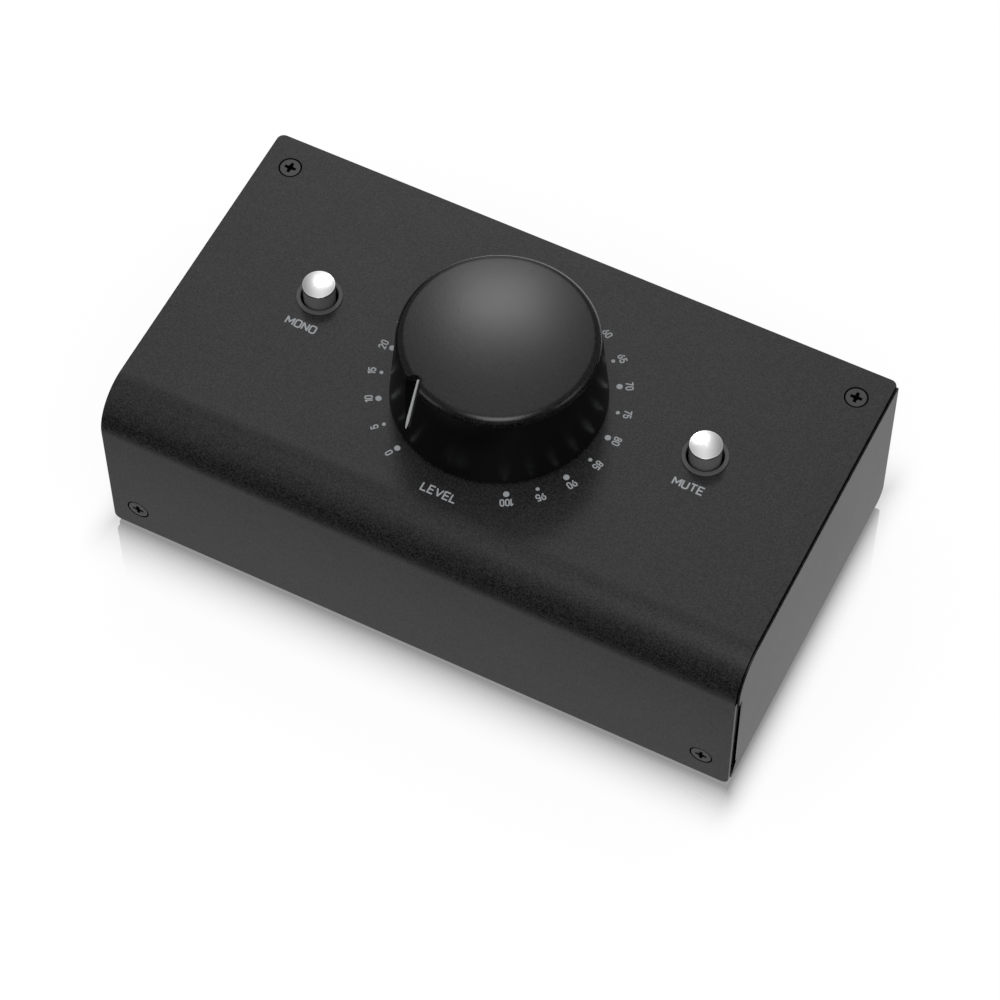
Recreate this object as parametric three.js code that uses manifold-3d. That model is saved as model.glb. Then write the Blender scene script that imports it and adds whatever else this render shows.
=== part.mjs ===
// Desktop studio monitor controller: a folded steel case with a large volume knob and two push buttons.
// Millimetres, +Z up. Inside the case group, x runs to the right, y runs back from the cover's front
// face and z runs up from the surface that the feet stand on.

import * as THREE from 'three';
import { mergeVertices } from 'three/addons/utils/BufferGeometryUtils.js';
import Module from 'manifold-3d';

const wasm = await Module();
wasm.setup();

// Cover: one sheet, bent from the top down over the front
const COVER_WIDTH = 173;
const COVER_DEPTH = 94.4;
const COVER_TOP = 53.2;
const COVER_LOW_EDGE = 2.1;
const COVER_SHEET = 1.3;
const COVER_BEND = 12;
const COVER_CORNER = 1.9;
const COVER_UNDERSIDE = COVER_TOP - COVER_SHEET;

// Chassis: folded tray with side panels
const CHASSIS_HALF_WIDTH = 86.75;
const CHASSIS_SHEET = 1.2;
const CHASSIS_BOTTOM = 2.6;
const CHASSIS_FRONT = 1.6;
const CHASSIS_REAR = 94.4;
const FOLD_STEP = 0.05;
const CORNER_NOTCH = 1.5;
const SIDE_TOP = 51.15;
const SIDE_GAP = COVER_UNDERSIDE - SIDE_TOP;
const SIDE_REAR_CORNER = 4;
const FRONT_FLANGE_FACE = 1.4;
const FRONT_FLANGE_BEND = 2;
const FRONT_FLANGE_LENGTH = 14.5;
const FRONT_FLANGE_LOW = 8.8;
const FRONT_FLANGE_HIGH = 37.5;
const FRONT_TAB_LOW = 5;
const BEND_SLIT = 0.4;
const TOP_FLANGE_FACE = 51.8;
const TOP_FLANGE_BEND = 2;
const TOP_FLANGE_FRONT = 78;
const RELIEF_DEPTH = 2.3;
const RELIEF_LOW = 4.4;

// Cover screws: countersunk, 3 mm thread, cross recess
const SCREW_HEAD_RADIUS = 2.75;
const SCREW_SHANK_RADIUS = 1.5;
const SCREW_LENGTH = 7;
const SCREW_SINK_RADIUS = 3;
const SCREW_SINK_SLACK = 0.05;
const CROSS_LENGTH = 3.1;
const CROSS_WIDTH = 0.7;
const CROSS_DEPTH = 1.1;
const SCREW_X = 78.9;
const REAR_SCREW_Y = 85.6;
const FRONT_SCREW_Z = 10.75;

// Feet
const FOOT_RADIUS = 6;
const FOOT_SEGMENTS = 20;
const FOOT_X = 72;
const FOOT_FRONT_Y = 14;
const FOOT_REAR_Y = 82;
const RESTING_GAP = 0.05;

// Volume knob, heights from the cover's top face
const KNOB_Y = 47.65;
const KNOB_BASE = 0.7;
const KNOB_BASE_RADIUS = 27;
const KNOB_RIM_RADIUS = 25.04;
const KNOB_RIM_HEIGHT = 22;
const KNOB_SHOULDER = 2.4;
const KNOB_EDGE_SLOPE = 6;
const KNOB_CAVITY_BASE_RADIUS = 24.2;
const KNOB_CAVITY_TOP_RADIUS = 21.6;
const KNOB_CAVITY_HEIGHT = 20;
const KNOB_BOSS_RADIUS = 7.6;
const KNOB_BOSS_LOW = 4.9;
const KNOB_SEGMENTS = 48;

// Pointer notch: a V whose narrow floor leans from the rim down to the skirt
const POINTER_DIRECTION = -120.4;
const NOTCH_TOP_RADIUS = 22.5;
const NOTCH_TOP_HEIGHT = 24.2;
const NOTCH_FOOT_RADIUS = 26.65;
const NOTCH_FOOT_HEIGHT = 6.2;
const NOTCH_FLOOR_WIDTH = 1.7;
const NOTCH_DEPTH = 6;
const POINTER_WIDTH = 1.2;
const POINTER_THICKNESS = 0.35;
const POINTER_TOP_INSET = 0.5;
const POINTER_TIP_WIDTH = 0.8;
const POINTER_FOOT_WIDTH = 0.6;
const POINTER_WIDEST = 0.3;

// Potentiometer and what fastens it
const BUSHING_RADIUS = 4.5;
const BUSHING_BORE = 3.1;
const BUSHING_TOP = 4.2;
const BUSHING_HOLE = 4.7;
const WASHER_RADIUS = 7.2;
const WASHER_THICKNESS = 0.6;
const NUT_FLATS = 12;
const NUT_THICKNESS = 2.2;
const POT_RADIUS = 8.2;
const POT_BASE_SIDE = 12;
const POT_BASE_HEIGHT = 1.6;
const POT_BORE_LOW = -8.5;
const SHAFT_RADIUS = 3;
const SHAFT_TOP = 19;
const SHAFT_FLAT = 1.5;
const SHAFT_FLAT_LOW = 6;
const INSERT_RADIUS = 4.8;

// Push buttons, heights from the cover's top face
const BUTTON_X = 53.1;
const BUTTON_Y = 53.4;
const BUTTON_RADIUS = 4.25;
const BUTTON_EDGE = 4.55;
const BUTTON_CROWN = 5.6;
const STEM_LOW = -4.1;
const PEG_SIDE = 3;
const PEG_LOW = -9.6;
const BEZEL_RADIUS = 5.85;
const BEZEL_BORE = 4.75;
const BEZEL_TUBE = 5.2;
const BEZEL_HEIGHT = 0.5;
const BEZEL_LOW = -2.6;
const BEZEL_HOLE = 5.3;
const SWITCH_SIDE = 8;
const SWITCH_TOP = 46;
const SWITCH_SLOT = 3.6;
const SWITCH_SLOT_FLOOR = 40.7;

// Boards and what holds them
const BOARD_THICKNESS = 1.6;
const CONTROL_BOARD_TOP = 39.9;
const CONTROL_BOARD_SIZE = [140, 30];
const CONTROL_BOARD_Y = 48.5;
const CONTROL_FIXING = [64, 40];
const JACK_BOARD_TOP = 9.6;
const JACK_BOARD_SIZE = [156, 32];
const JACK_BOARD_Y = 74;
const JACK_FIXING = [46.5, 62];
const STANDOFF_RADIUS = 2.75;
const BOARD_SCREW_HEAD = 2.6;
const BOARD_SCREW_HEAD_HEIGHT = 1.8;
const BOARD_SCREW_LENGTH = 5;

// Rear connectors: they stand on the connector board, with their flange behind the rear wall
const INPUT_X = [-64, -34];
const OUTPUT_X = [34, 64];
const CONNECTOR_Z = 27;
const CONNECTOR_FLANGE = [26, 31];
const CONNECTOR_FLANGE_THICKNESS = 2;
const CONNECTOR_PROUD = 1.4;
const CONNECTOR_LIP_RADIUS = 11.7;
const CONNECTOR_HOLE = 12;
const CONNECTOR_BARREL_RADIUS = 11.2;
const CONNECTOR_FRONT = 67;
const CONNECTOR_LEG_HALF = 10;
const CONNECTOR_LEG_REAR = 86;
const CONNECTOR_SCREW_OFFSET = [9.5, 12];
const CONNECTOR_SCREW_HEAD = 2.5;
const CONNECTOR_SCREW_HEAD_HEIGHT = 1.6;
const CONNECTOR_SCREW_SHANK = 1.25;
const CONNECTOR_SCREW_LENGTH = 5;
const SOCKET_INSERT_RADIUS = 7.4;
const SOCKET_SLOT_RADIUS = 9.6;
const SOCKET_SLOT_DEPTH = 12;
const SOCKET_PLUG_BORE = 3.3;
const SOCKET_PLUG_DEPTH = 24;
const CUP_RADIUS = 8.9;
const CUP_DEPTH = 15;
const PIN_RADIUS = 1.2;
const PIN_CIRCLE = 4.95;
const PIN_LENGTH = 10;
const PIN_ROOT = 4;
const PIN_SIDES = 8;
const STEREO_Z = 16.5;
const STEREO_BUSHING = 3;
const STEREO_BORE = 1.8;
const STEREO_BORE_DEPTH = 14;
const STEREO_BODY_SIDE = 12;
const STEREO_BODY_FRONT = 78;
const STEREO_PROUD = 3;
const STEREO_NUT_RADIUS = 4.6;
const STEREO_NUT_THICKNESS = 1.8;

// Ribbon cable between the two boards
const RIBBON_X = 62;
const RIBBON_WIDTH = 12.7;
const RIBBON_THICKNESS = 0.9;
const HEADER_SIZE = [16, 6, 5];
const RIBBON_TOP_Y = 46;
const RIBBON_LOW_Y = 62.5;

const OVERALL_DEPTH = CHASSIS_REAR + STEREO_PROUD;
const ROUND = 24;
const SMALL_ROUND = 12;
const WELD_DISTANCE = 1e-4;
const THROUGH = 200;
const WALL_GAP = 0.3;

const steelBlack = { color: 0x303031, roughness: 0.55, metalness: 0.1 };
const screwBlack = { color: 0x1c1c1d, roughness: 0.4, metalness: 0.6 };
const knobBlack = { color: 0x1a1a1b, roughness: 0.45, metalness: 0 };
const plasticBlack = { color: 0x141415, roughness: 0.5, metalness: 0 };
const rubberBlack = { color: 0x111111, roughness: 0.9, metalness: 0 };
const silver = { color: 0xd8d8d8, roughness: 0.2, metalness: 1 };
const nickel = { color: 0xa8a6a0, roughness: 0.3, metalness: 1 };
const brass = { color: 0xb08d4a, roughness: 0.35, metalness: 1 };
const pointerWhite = { color: 0xe6e6e6, roughness: 0.5, metalness: 0 };
const boardGreen = { color: 0x1f4a30, roughness: 0.5, metalness: 0 };
const ribbonGrey = { color: 0x8a8d90, roughness: 0.7, metalness: 0 };

const rad = THREE.MathUtils.degToRad;

/** Six times the volume inside a triangle list; negative when its faces point in. */
function windingSign(points, corners) {
  let total = 0;
  const [a, b, c] = [new THREE.Vector3(), new THREE.Vector3(), new THREE.Vector3()];
  for (let i = 0; i < corners.length; i += 3) {
    a.fromArray(points, 3 * corners[i]);
    b.fromArray(points, 3 * corners[i + 1]);
    c.fromArray(points, 3 * corners[i + 2]);
    total += a.dot(b.cross(c));
  }
  return total;
}

/** Welds a geometry into a closed solid whose faces point out. */
function toSolid(geometry) {
  const bare = geometry.index ? geometry.toNonIndexed() : geometry.clone();
  bare.deleteAttribute('normal');
  bare.deleteAttribute('uv');
  const welded = mergeVertices(bare, WELD_DISTANCE);
  const points = welded.attributes.position.array;
  const corners = [];
  for (let i = 0; i < welded.index.count; i += 3) {
    const [a, b, c] = [0, 1, 2].map((k) => welded.index.getX(i + k));
    if (a !== b && b !== c && c !== a) corners.push(a, b, c);
  }
  if (windingSign(points, corners) < 0) corners.reverse();
  return new wasm.Manifold(new wasm.Mesh({
    numProp: 3,
    vertProperties: new Float32Array(points),
    triVerts: new Uint32Array(corners),
  }));
}

/** The surface of a solid as a geometry that a mesh can show. */
function toGeometry(solid) {
  const mesh = solid.getMesh();
  const geometry = new THREE.BufferGeometry();
  geometry.setAttribute('position', new THREE.BufferAttribute(mesh.vertProperties, 3));
  geometry.setIndex(new THREE.BufferAttribute(mesh.triVerts, 1));
  geometry.computeVertexNormals();
  return geometry;
}

const join = (first, ...others) => others.reduce((sum, one) => sum.add(one), first);
const cut = (body, ...tools) => tools.reduce((rest, one) => rest.subtract(one), body);

/** A block between two opposite corners. */
function block([x0, y0, z0], [x1, y1, z1]) {
  const box = new THREE.BoxGeometry(x1 - x0, y1 - y0, z1 - z0);
  return toSolid(box.translate((x0 + x1) / 2, (y0 + y1) / 2, (z0 + z1) / 2));
}

/** A rod about the Z axis through (x, y). */
function rodZ(radius, z0, z1, [x, y] = [0, 0], sides = ROUND) {
  const rod = new THREE.CylinderGeometry(radius, radius, z1 - z0, sides);
  return toSolid(rod.rotateX(Math.PI / 2).translate(x, y, (z0 + z1) / 2));
}

/** A rod about the Y axis through (x, z). */
function rodY(radius, y0, y1, [x, z] = [0, 0], sides = ROUND) {
  const rod = new THREE.CylinderGeometry(radius, radius, y1 - y0, sides);
  return toSolid(rod.translate(x, (y0 + y1) / 2, z));
}

/** A body turned about the Z axis from [radius, height] points. */
function turned(profile, segments = ROUND) {
  const points = profile.map(([r, h]) => new THREE.Vector2(r, h));
  return toSolid(new THREE.LatheGeometry(points, segments).rotateX(Math.PI / 2));
}

/** A flat outline carried along Z from z0 to z1. */
function plateZ(shape, z0, z1, curveSegments = 8) {
  const geometry = new THREE.ExtrudeGeometry(shape, { depth: z1 - z0, bevelEnabled: false, curveSegments });
  return toSolid(geometry.translate(0, 0, z0));
}

/** An outline drawn in (y, z), carried along X from x0 to x1. */
function plateX(shape, x0, x1, curveSegments = 8) {
  const geometry = new THREE.ExtrudeGeometry(shape, { depth: x1 - x0, bevelEnabled: false, curveSegments });
  const turn = new THREE.Matrix4().makeBasis(
    new THREE.Vector3(0, 1, 0), new THREE.Vector3(0, 0, 1), new THREE.Vector3(1, 0, 0));
  return toSolid(geometry.applyMatrix4(turn).translate(x0, 0, 0));
}

/** An outline drawn in (x, z), carried along Y from y0 to y1. */
function plateY(shape, y0, y1, curveSegments = 8) {
  const geometry = new THREE.ExtrudeGeometry(shape, { depth: y1 - y0, bevelEnabled: false, curveSegments });
  return toSolid(geometry.rotateX(Math.PI / 2).translate(0, y1, 0));
}

/** A rectangle about (x, y) with rounded corners. */
function roundedRectangle(width, height, radius, [x, y] = [0, 0]) {
  const [w, h] = [width / 2 - radius, height / 2 - radius];
  const shape = new THREE.Shape();
  shape.absarc(x + w, y + h, radius, 0, rad(90));
  shape.absarc(x - w, y + h, radius, rad(90), rad(180));
  shape.absarc(x - w, y - h, radius, rad(180), rad(270));
  shape.absarc(x + w, y - h, radius, rad(270), rad(360));
  return shape;
}

/** Points along an arc, as [radius, height] pairs about a centre. */
function arcPoints([cx, cy], radius, from, to, steps) {
  const points = [];
  for (let i = 0; i <= steps; i += 1) {
    const angle = rad(from + ((to - from) * i) / steps);
    points.push([cx + radius * Math.cos(angle), cy + radius * Math.sin(angle)]);
  }
  return points;
}

function piece(name, solid, finish) {
  const mesh = new THREE.Mesh(toGeometry(solid), new THREE.MeshStandardMaterial(finish));
  mesh.name = name;
  return mesh;
}

function placed(object, x, y, z) {
  object.position.set(x, y, z);
  return object;
}

/** Cover: top, bend and front of one sheet, with its four free corners rounded. */
function makeCover() {
  const half = COVER_WIDTH / 2;
  const inner = COVER_BEND - COVER_SHEET;
  const centre = [COVER_BEND, COVER_TOP - COVER_BEND];
  const side = new THREE.Shape();
  side.moveTo(0, COVER_LOW_EDGE);
  side.lineTo(COVER_SHEET, COVER_LOW_EDGE);
  side.absarc(...centre, inner, rad(180), rad(90), true);
  side.lineTo(COVER_DEPTH, COVER_UNDERSIDE);
  side.lineTo(COVER_DEPTH, COVER_TOP);
  side.absarc(...centre, COVER_BEND, rad(90), rad(180), false);
  const sheet = plateX(side, -half, half, 9);

  const rearCorners = roundedRectangle(COVER_WIDTH, THROUGH, COVER_CORNER, [0, COVER_DEPTH - THROUGH / 2]);
  const lowCorners = roundedRectangle(COVER_WIDTH, THROUGH, COVER_CORNER, [0, COVER_LOW_EDGE + THROUGH / 2]);
  const trimmed = sheet
    .intersect(plateZ(rearCorners, -THROUGH, THROUGH, 4))
    .intersect(plateY(lowCorners, -THROUGH, THROUGH, 4));

  const holes = [rodZ(BUSHING_HOLE, 0, THROUGH, [0, KNOB_Y])];
  for (const turn of [-1, 1]) {
    holes.push(rodZ(BEZEL_HOLE, 0, THROUGH, [turn * BUTTON_X, BUTTON_Y]));
    holes.push(countersink().translate(turn * SCREW_X, REAR_SCREW_Y, COVER_TOP));
    holes.push(countersink().rotate(90, 0, 0).translate(turn * SCREW_X, 0, FRONT_SCREW_Z));
  }
  return cut(trimmed, ...holes);
}

/** Countersink with its mouth at z = 0, a little wider than the screw head. */
function countersink() {
  const depth = COVER_SHEET + 1;
  const mouth = 0.5;
  return turned([
    [0, -depth],
    [SCREW_SINK_RADIUS - COVER_SHEET, -depth],
    [SCREW_SINK_RADIUS - COVER_SHEET, -COVER_SHEET],
    [SCREW_SINK_RADIUS, 0],
    [SCREW_SINK_RADIUS, mouth],
    [0, mouth],
  ]);
}

/** Countersunk screw, head flush at z = 0 and shank pointing down. */
function makeCoverScrew() {
  const coneDepth = SCREW_HEAD_RADIUS - SCREW_SHANK_RADIUS;
  const tip = 0.6;
  const blank = turned([
    [0, -SCREW_LENGTH],
    [SCREW_SHANK_RADIUS - tip, -SCREW_LENGTH],
    [SCREW_SHANK_RADIUS, -SCREW_LENGTH + tip],
    [SCREW_SHANK_RADIUS, -coneDepth],
    [SCREW_HEAD_RADIUS, 0],
    [0, 0],
  ], SMALL_ROUND);
  const [long, short] = [CROSS_LENGTH / 2, CROSS_WIDTH / 2];
  return cut(
    blank,
    block([-long, -short, -CROSS_DEPTH], [long, short, 1]),
    block([-short, -long, -CROSS_DEPTH], [short, long, 1]),
  );
}

/** Outline in (y, z) of the bottom, rear wall and top flange of the chassis, one sheet thick. */
function trayOutline() {
  const sheet = CHASSIS_SHEET;
  const [front, rear] = [CHASSIS_FRONT + FOLD_STEP, CHASSIS_REAR - FOLD_STEP];
  const bottom = CHASSIS_BOTTOM + FOLD_STEP;
  const low = [rear - SIDE_REAR_CORNER, bottom + SIDE_REAR_CORNER];
  const high = [rear - TOP_FLANGE_BEND, TOP_FLANGE_FACE - TOP_FLANGE_BEND];
  const shape = new THREE.Shape();
  shape.moveTo(front, bottom);
  shape.absarc(...low, SIDE_REAR_CORNER, rad(-90), rad(0), false);
  shape.absarc(...high, TOP_FLANGE_BEND, rad(0), rad(90), false);
  shape.lineTo(TOP_FLANGE_FRONT, TOP_FLANGE_FACE);
  shape.lineTo(TOP_FLANGE_FRONT, TOP_FLANGE_FACE - sheet);
  shape.absarc(...high, TOP_FLANGE_BEND - sheet, rad(90), rad(0), true);
  shape.absarc(...low, SIDE_REAR_CORNER - sheet, rad(0), rad(-90), true);
  shape.lineTo(front, bottom + sheet);
  return shape;
}

/** Outline in (y, z) of a side panel: it follows the cover's bend and has a relief low at the front. */
function sideOutline() {
  const bendCentre = [COVER_BEND, COVER_TOP - COVER_BEND];
  const bendRadius = COVER_BEND - COVER_SHEET - SIDE_GAP;
  const flangeStart = FRONT_FLANGE_FACE + FRONT_FLANGE_BEND;
  const rear = [CHASSIS_REAR - SIDE_REAR_CORNER, CHASSIS_BOTTOM + SIDE_REAR_CORNER];
  const slit = FRONT_FLANGE_HIGH + BEND_SLIT;
  const shape = new THREE.Shape();
  shape.moveTo(CHASSIS_FRONT, CHASSIS_BOTTOM);
  shape.absarc(...rear, SIDE_REAR_CORNER, rad(-90), rad(0), false);
  shape.lineTo(CHASSIS_REAR, SIDE_TOP);
  shape.absarc(...bendCentre, bendRadius, rad(90), rad(180), false);
  shape.lineTo(COVER_BEND - bendRadius, slit);
  shape.lineTo(flangeStart, slit);
  shape.lineTo(flangeStart, FRONT_FLANGE_LOW);
  shape.lineTo(CHASSIS_FRONT + RELIEF_DEPTH, FRONT_FLANGE_LOW);
  shape.lineTo(CHASSIS_FRONT, RELIEF_LOW);
  return shape;
}

/** Front flange of the right side panel in (x, y): it meets the panel in a rounded bend. */
function flangeOutline() {
  const outside = CHASSIS_HALF_WIDTH - FOLD_STEP;
  const inside = CHASSIS_HALF_WIDTH - CHASSIS_SHEET + FOLD_STEP;
  const centre = [outside - FRONT_FLANGE_BEND, FRONT_FLANGE_FACE + FRONT_FLANGE_BEND];
  const end = CHASSIS_HALF_WIDTH - FRONT_FLANGE_LENGTH;
  const panelEnd = centre[1] + 1;
  const shape = new THREE.Shape();
  shape.moveTo(end, FRONT_FLANGE_FACE);
  shape.absarc(...centre, FRONT_FLANGE_BEND, rad(-90), rad(0), false);
  shape.lineTo(outside, panelEnd);
  shape.lineTo(inside, panelEnd);
  shape.absarc(...centre, inside - centre[0], rad(0), rad(-90), true);
  shape.lineTo(end, FRONT_FLANGE_FACE + outside - inside);
  return shape;
}

/** Chassis: bottom, rear wall and top flange with the side panels and their front flanges. */
function makeChassis() {
  const middle = CHASSIS_HALF_WIDTH - CHASSIS_SHEET / 2;
  const notched = CHASSIS_HALF_WIDTH - CORNER_NOTCH;
  const tray = plateX(trayOutline(), -middle, middle, 5);
  const panel = plateX(sideOutline(), CHASSIS_HALF_WIDTH - CHASSIS_SHEET, CHASSIS_HALF_WIDTH, 8);
  const bendStart = CHASSIS_HALF_WIDTH - FRONT_FLANGE_BEND - 0.5;
  const flange = cut(
    plateZ(flangeOutline(), FRONT_TAB_LOW, FRONT_FLANGE_HIGH, 4),
    block([bendStart, 0, 0], [THROUGH, THROUGH, FRONT_FLANGE_LOW + FOLD_STEP]),
  );
  const right = join(panel, flange);
  const topCorner = block([notched, 0, TOP_FLANGE_FACE - TOP_FLANGE_BEND], [THROUGH, THROUGH, THROUGH]);
  const body = join(cut(tray, topCorner, topCorner.mirror([1, 0, 0])), right, right.mirror([1, 0, 0]));

  const threadHole = SCREW_SHANK_RADIUS + SCREW_SINK_SLACK;
  const wall = [CHASSIS_REAR - 2 * CHASSIS_SHEET, CHASSIS_REAR + 1];
  const holes = [rodY(STEREO_BUSHING + WALL_GAP, ...wall, [0, STEREO_Z], SMALL_ROUND)];
  for (const turn of [-1, 1]) {
    holes.push(rodZ(threadHole, TOP_FLANGE_FACE - 3, COVER_TOP, [turn * SCREW_X, REAR_SCREW_Y], SMALL_ROUND));
    holes.push(rodY(threadHole, 0, 5, [turn * SCREW_X, FRONT_SCREW_Z], SMALL_ROUND));
  }
  for (const x of [...INPUT_X, ...OUTPUT_X]) {
    holes.push(rodY(CONNECTOR_HOLE, ...wall, [x, CONNECTOR_Z]));
    for (const [sx, sz] of connectorScrewSpots(x)) {
      holes.push(rodY(CONNECTOR_SCREW_SHANK + RESTING_GAP, ...wall, [sx, sz], SMALL_ROUND));
    }
  }
  return cut(body, ...holes);
}

/** The two screws of a connector sit at opposite corners of its flange. */
function connectorScrewSpots(x) {
  const [dx, dz] = CONNECTOR_SCREW_OFFSET;
  return [[x - dx, CONNECTOR_Z + dz], [x + dx, CONNECTOR_Z - dz]];
}

/** Rubber foot with a bevelled edge and a shallow dish underneath. */
function makeFoot() {
  const top = CHASSIS_BOTTOM - RESTING_GAP;
  const dish = 0.5;
  return turned([
    [0, dish],
    [FOOT_RADIUS / 3, dish],
    [FOOT_RADIUS / 2, 0],
    [FOOT_RADIUS - dish, 0],
    [FOOT_RADIUS, dish],
    [FOOT_RADIUS, top],
    [0, top],
  ], FOOT_SEGMENTS);
}

/** Knob: conical skirt, rounded shoulder and a slightly domed top, hollow below round a boss. */
function makeKnob() {
  const shoulder = [KNOB_RIM_RADIUS - KNOB_SHOULDER, KNOB_RIM_HEIGHT];
  const roll = arcPoints(shoulder, KNOB_SHOULDER, 0, 90 - KNOB_EDGE_SLOPE, 6);
  const [edge, edgeHeight] = roll.at(-1);
  const rise = (edge * Math.tan(rad(KNOB_EDGE_SLOPE))) / 2;
  const crownSteps = 5;
  const crown = [];
  for (let i = 1; i <= crownSteps; i += 1) {
    const share = 1 - i / crownSteps;
    crown.push([edge * share, edgeHeight + rise * (1 - share * share)]);
  }
  const boreTop = SHAFT_TOP + 0.4;
  const bore = INSERT_RADIUS + RESTING_GAP;
  const profile = [
    [0, boreTop],
    [bore, boreTop],
    [bore, KNOB_BOSS_LOW],
    [KNOB_BOSS_RADIUS, KNOB_BOSS_LOW],
    [KNOB_BOSS_RADIUS, KNOB_CAVITY_HEIGHT],
    [KNOB_CAVITY_TOP_RADIUS, KNOB_CAVITY_HEIGHT],
    [KNOB_CAVITY_BASE_RADIUS, KNOB_BASE],
    [KNOB_BASE_RADIUS - 0.3, KNOB_BASE],
    [KNOB_BASE_RADIUS, KNOB_BASE + 0.3],
    ...roll,
    ...crown,
  ];
  return cut(turned(profile, KNOB_SEGMENTS), notchTool());
}

/** Slope and middle of the notch floor, in the pointer's own plane of radius and height. */
function notchFloor() {
  const run = NOTCH_FOOT_RADIUS - NOTCH_TOP_RADIUS;
  const drop = NOTCH_TOP_HEIGHT - NOTCH_FOOT_HEIGHT;
  return { lean: Math.atan2(run, drop), length: Math.hypot(run, drop) };
}

/** Places a solid built up the Z axis so that it stands on the notch floor, facing out. */
function onNotchFloor(solid) {
  const { lean } = notchFloor();
  return solid
    .rotate(0, -THREE.MathUtils.radToDeg(lean), 0)
    .translate(NOTCH_FOOT_RADIUS, 0, NOTCH_FOOT_HEIGHT)
    .rotate(0, 0, POINTER_DIRECTION);
}

/** V-shaped cutter with walls at 45 degrees and a narrow flat floor. */
function notchTool() {
  const half = NOTCH_FLOOR_WIDTH / 2;
  const { length } = notchFloor();
  const shape = new THREE.Shape();
  shape.moveTo(0, -half);
  shape.lineTo(NOTCH_DEPTH, -half - NOTCH_DEPTH);
  shape.lineTo(NOTCH_DEPTH, half + NOTCH_DEPTH);
  shape.lineTo(0, half);
  return onNotchFloor(plateZ(shape, 0, length + 5));
}

/** Pointer: a thin light bar on the notch floor, round at both ends and widest low down. */
function makePointer() {
  const bar = notchFloor().length - POINTER_TOP_INSET;
  const [foot, half, tip] = [POINTER_FOOT_WIDTH / 2, POINTER_WIDTH / 2, POINTER_TIP_WIDTH / 2];
  const widest = POINTER_WIDEST * bar;
  const shape = new THREE.Shape();
  shape.absarc(0, foot, foot, rad(180), rad(360));
  shape.quadraticCurveTo(half, widest / 2, half, widest);
  shape.lineTo(tip, bar - tip);
  shape.absarc(0, bar - tip, tip, 0, rad(180));
  shape.lineTo(-half, widest);
  shape.quadraticCurveTo(-half, widest / 2, -foot, foot);
  const standing = plateZ(shape, RESTING_GAP, RESTING_GAP + POINTER_THICKNESS, 4);
  return onNotchFloor(standing.rotate(90, 0, 90));
}

/** D-shaped bore or shaft end: a round with one flat. */
function withFlat(solid, flatAt, z0, z1) {
  return cut(solid, block([flatAt, -THROUGH, z0], [THROUGH, THROUGH, z1]));
}

function makeShaft() {
  const low = POT_BORE_LOW + 0.5;
  const rod = rodZ(SHAFT_RADIUS, low, SHAFT_TOP);
  return withFlat(rod, SHAFT_FLAT, SHAFT_FLAT_LOW, SHAFT_TOP + 1);
}

function makeInsert() {
  const [low, high] = [KNOB_BOSS_LOW + 1.3, SHAFT_TOP];
  const slack = RESTING_GAP;
  const bore = withFlat(
    rodZ(SHAFT_RADIUS + slack, low - 1, high + 1), SHAFT_FLAT + slack, low - 1, high + 1);
  return cut(rodZ(INSERT_RADIUS, low, high), bore);
}

function makePotBody() {
  const top = -COVER_SHEET - RESTING_GAP;
  const low = CONTROL_BOARD_TOP - COVER_TOP + RESTING_GAP;
  const half = POT_BASE_SIDE / 2;
  const can = rodZ(POT_RADIUS, low + POT_BASE_HEIGHT, top);
  const base = block([-half, -half, low], [half, half, low + POT_BASE_HEIGHT + 1]);
  return cut(join(can, base), rodZ(BUSHING_BORE, POT_BORE_LOW, 1));
}

function makeBushing() {
  const low = -COVER_SHEET;
  return cut(rodZ(BUSHING_RADIUS, low, BUSHING_TOP), rodZ(BUSHING_BORE, low - 1, BUSHING_TOP + 1));
}

function makeWasher() {
  const [low, high] = [RESTING_GAP, RESTING_GAP + WASHER_THICKNESS];
  return cut(rodZ(WASHER_RADIUS, low, high), rodZ(BUSHING_HOLE, -1, 2));
}

function makeNut() {
  const low = WASHER_THICKNESS + 2 * RESTING_GAP;
  const acrossCorners = NUT_FLATS / Math.cos(rad(30));
  return cut(
    rodZ(acrossCorners / 2, low, low + NUT_THICKNESS, [0, 0], 6),
    rodZ(BUSHING_RADIUS + RESTING_GAP, low - 1, low + NUT_THICKNESS + 1),
  );
}

/** Silver button cap: a short rim under a shallow dome. */
function makeButtonCap() {
  const edge = 0.45;
  return turned([
    [0, BUTTON_EDGE],
    [BUTTON_RADIUS, BUTTON_EDGE],
    [BUTTON_RADIUS, BUTTON_EDGE + edge / 3],
    [BUTTON_RADIUS - edge / 3, BUTTON_EDGE + edge],
    [BUTTON_RADIUS - edge, BUTTON_EDGE + 1.5 * edge],
    [BUTTON_RADIUS / 2, BUTTON_CROWN - 0.1],
    [0, BUTTON_CROWN],
  ]);
}

/** Dark button stem, with the peg that works the switch. */
function makeButtonStem() {
  const top = BUTTON_EDGE - RESTING_GAP;
  const half = PEG_SIDE / 2;
  return join(
    rodZ(BUTTON_RADIUS, STEM_LOW, top),
    block([-half, -half, PEG_LOW], [half, half, STEM_LOW + 1]),
  );
}

/** Bezel: a low rounded ring on the cover with a guide tube through it. */
function makeBezel() {
  const low = RESTING_GAP;
  const soft = 0.2;
  return turned([
    [BEZEL_BORE, BEZEL_LOW],
    [BEZEL_TUBE, BEZEL_LOW],
    [BEZEL_TUBE, low],
    [BEZEL_RADIUS, low],
    [BEZEL_RADIUS, BEZEL_HEIGHT - soft],
    [BEZEL_RADIUS - soft, BEZEL_HEIGHT],
    [BEZEL_BORE + soft, BEZEL_HEIGHT],
    [BEZEL_BORE, BEZEL_HEIGHT - soft],
    [BEZEL_BORE, BEZEL_LOW],
  ]);
}

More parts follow.
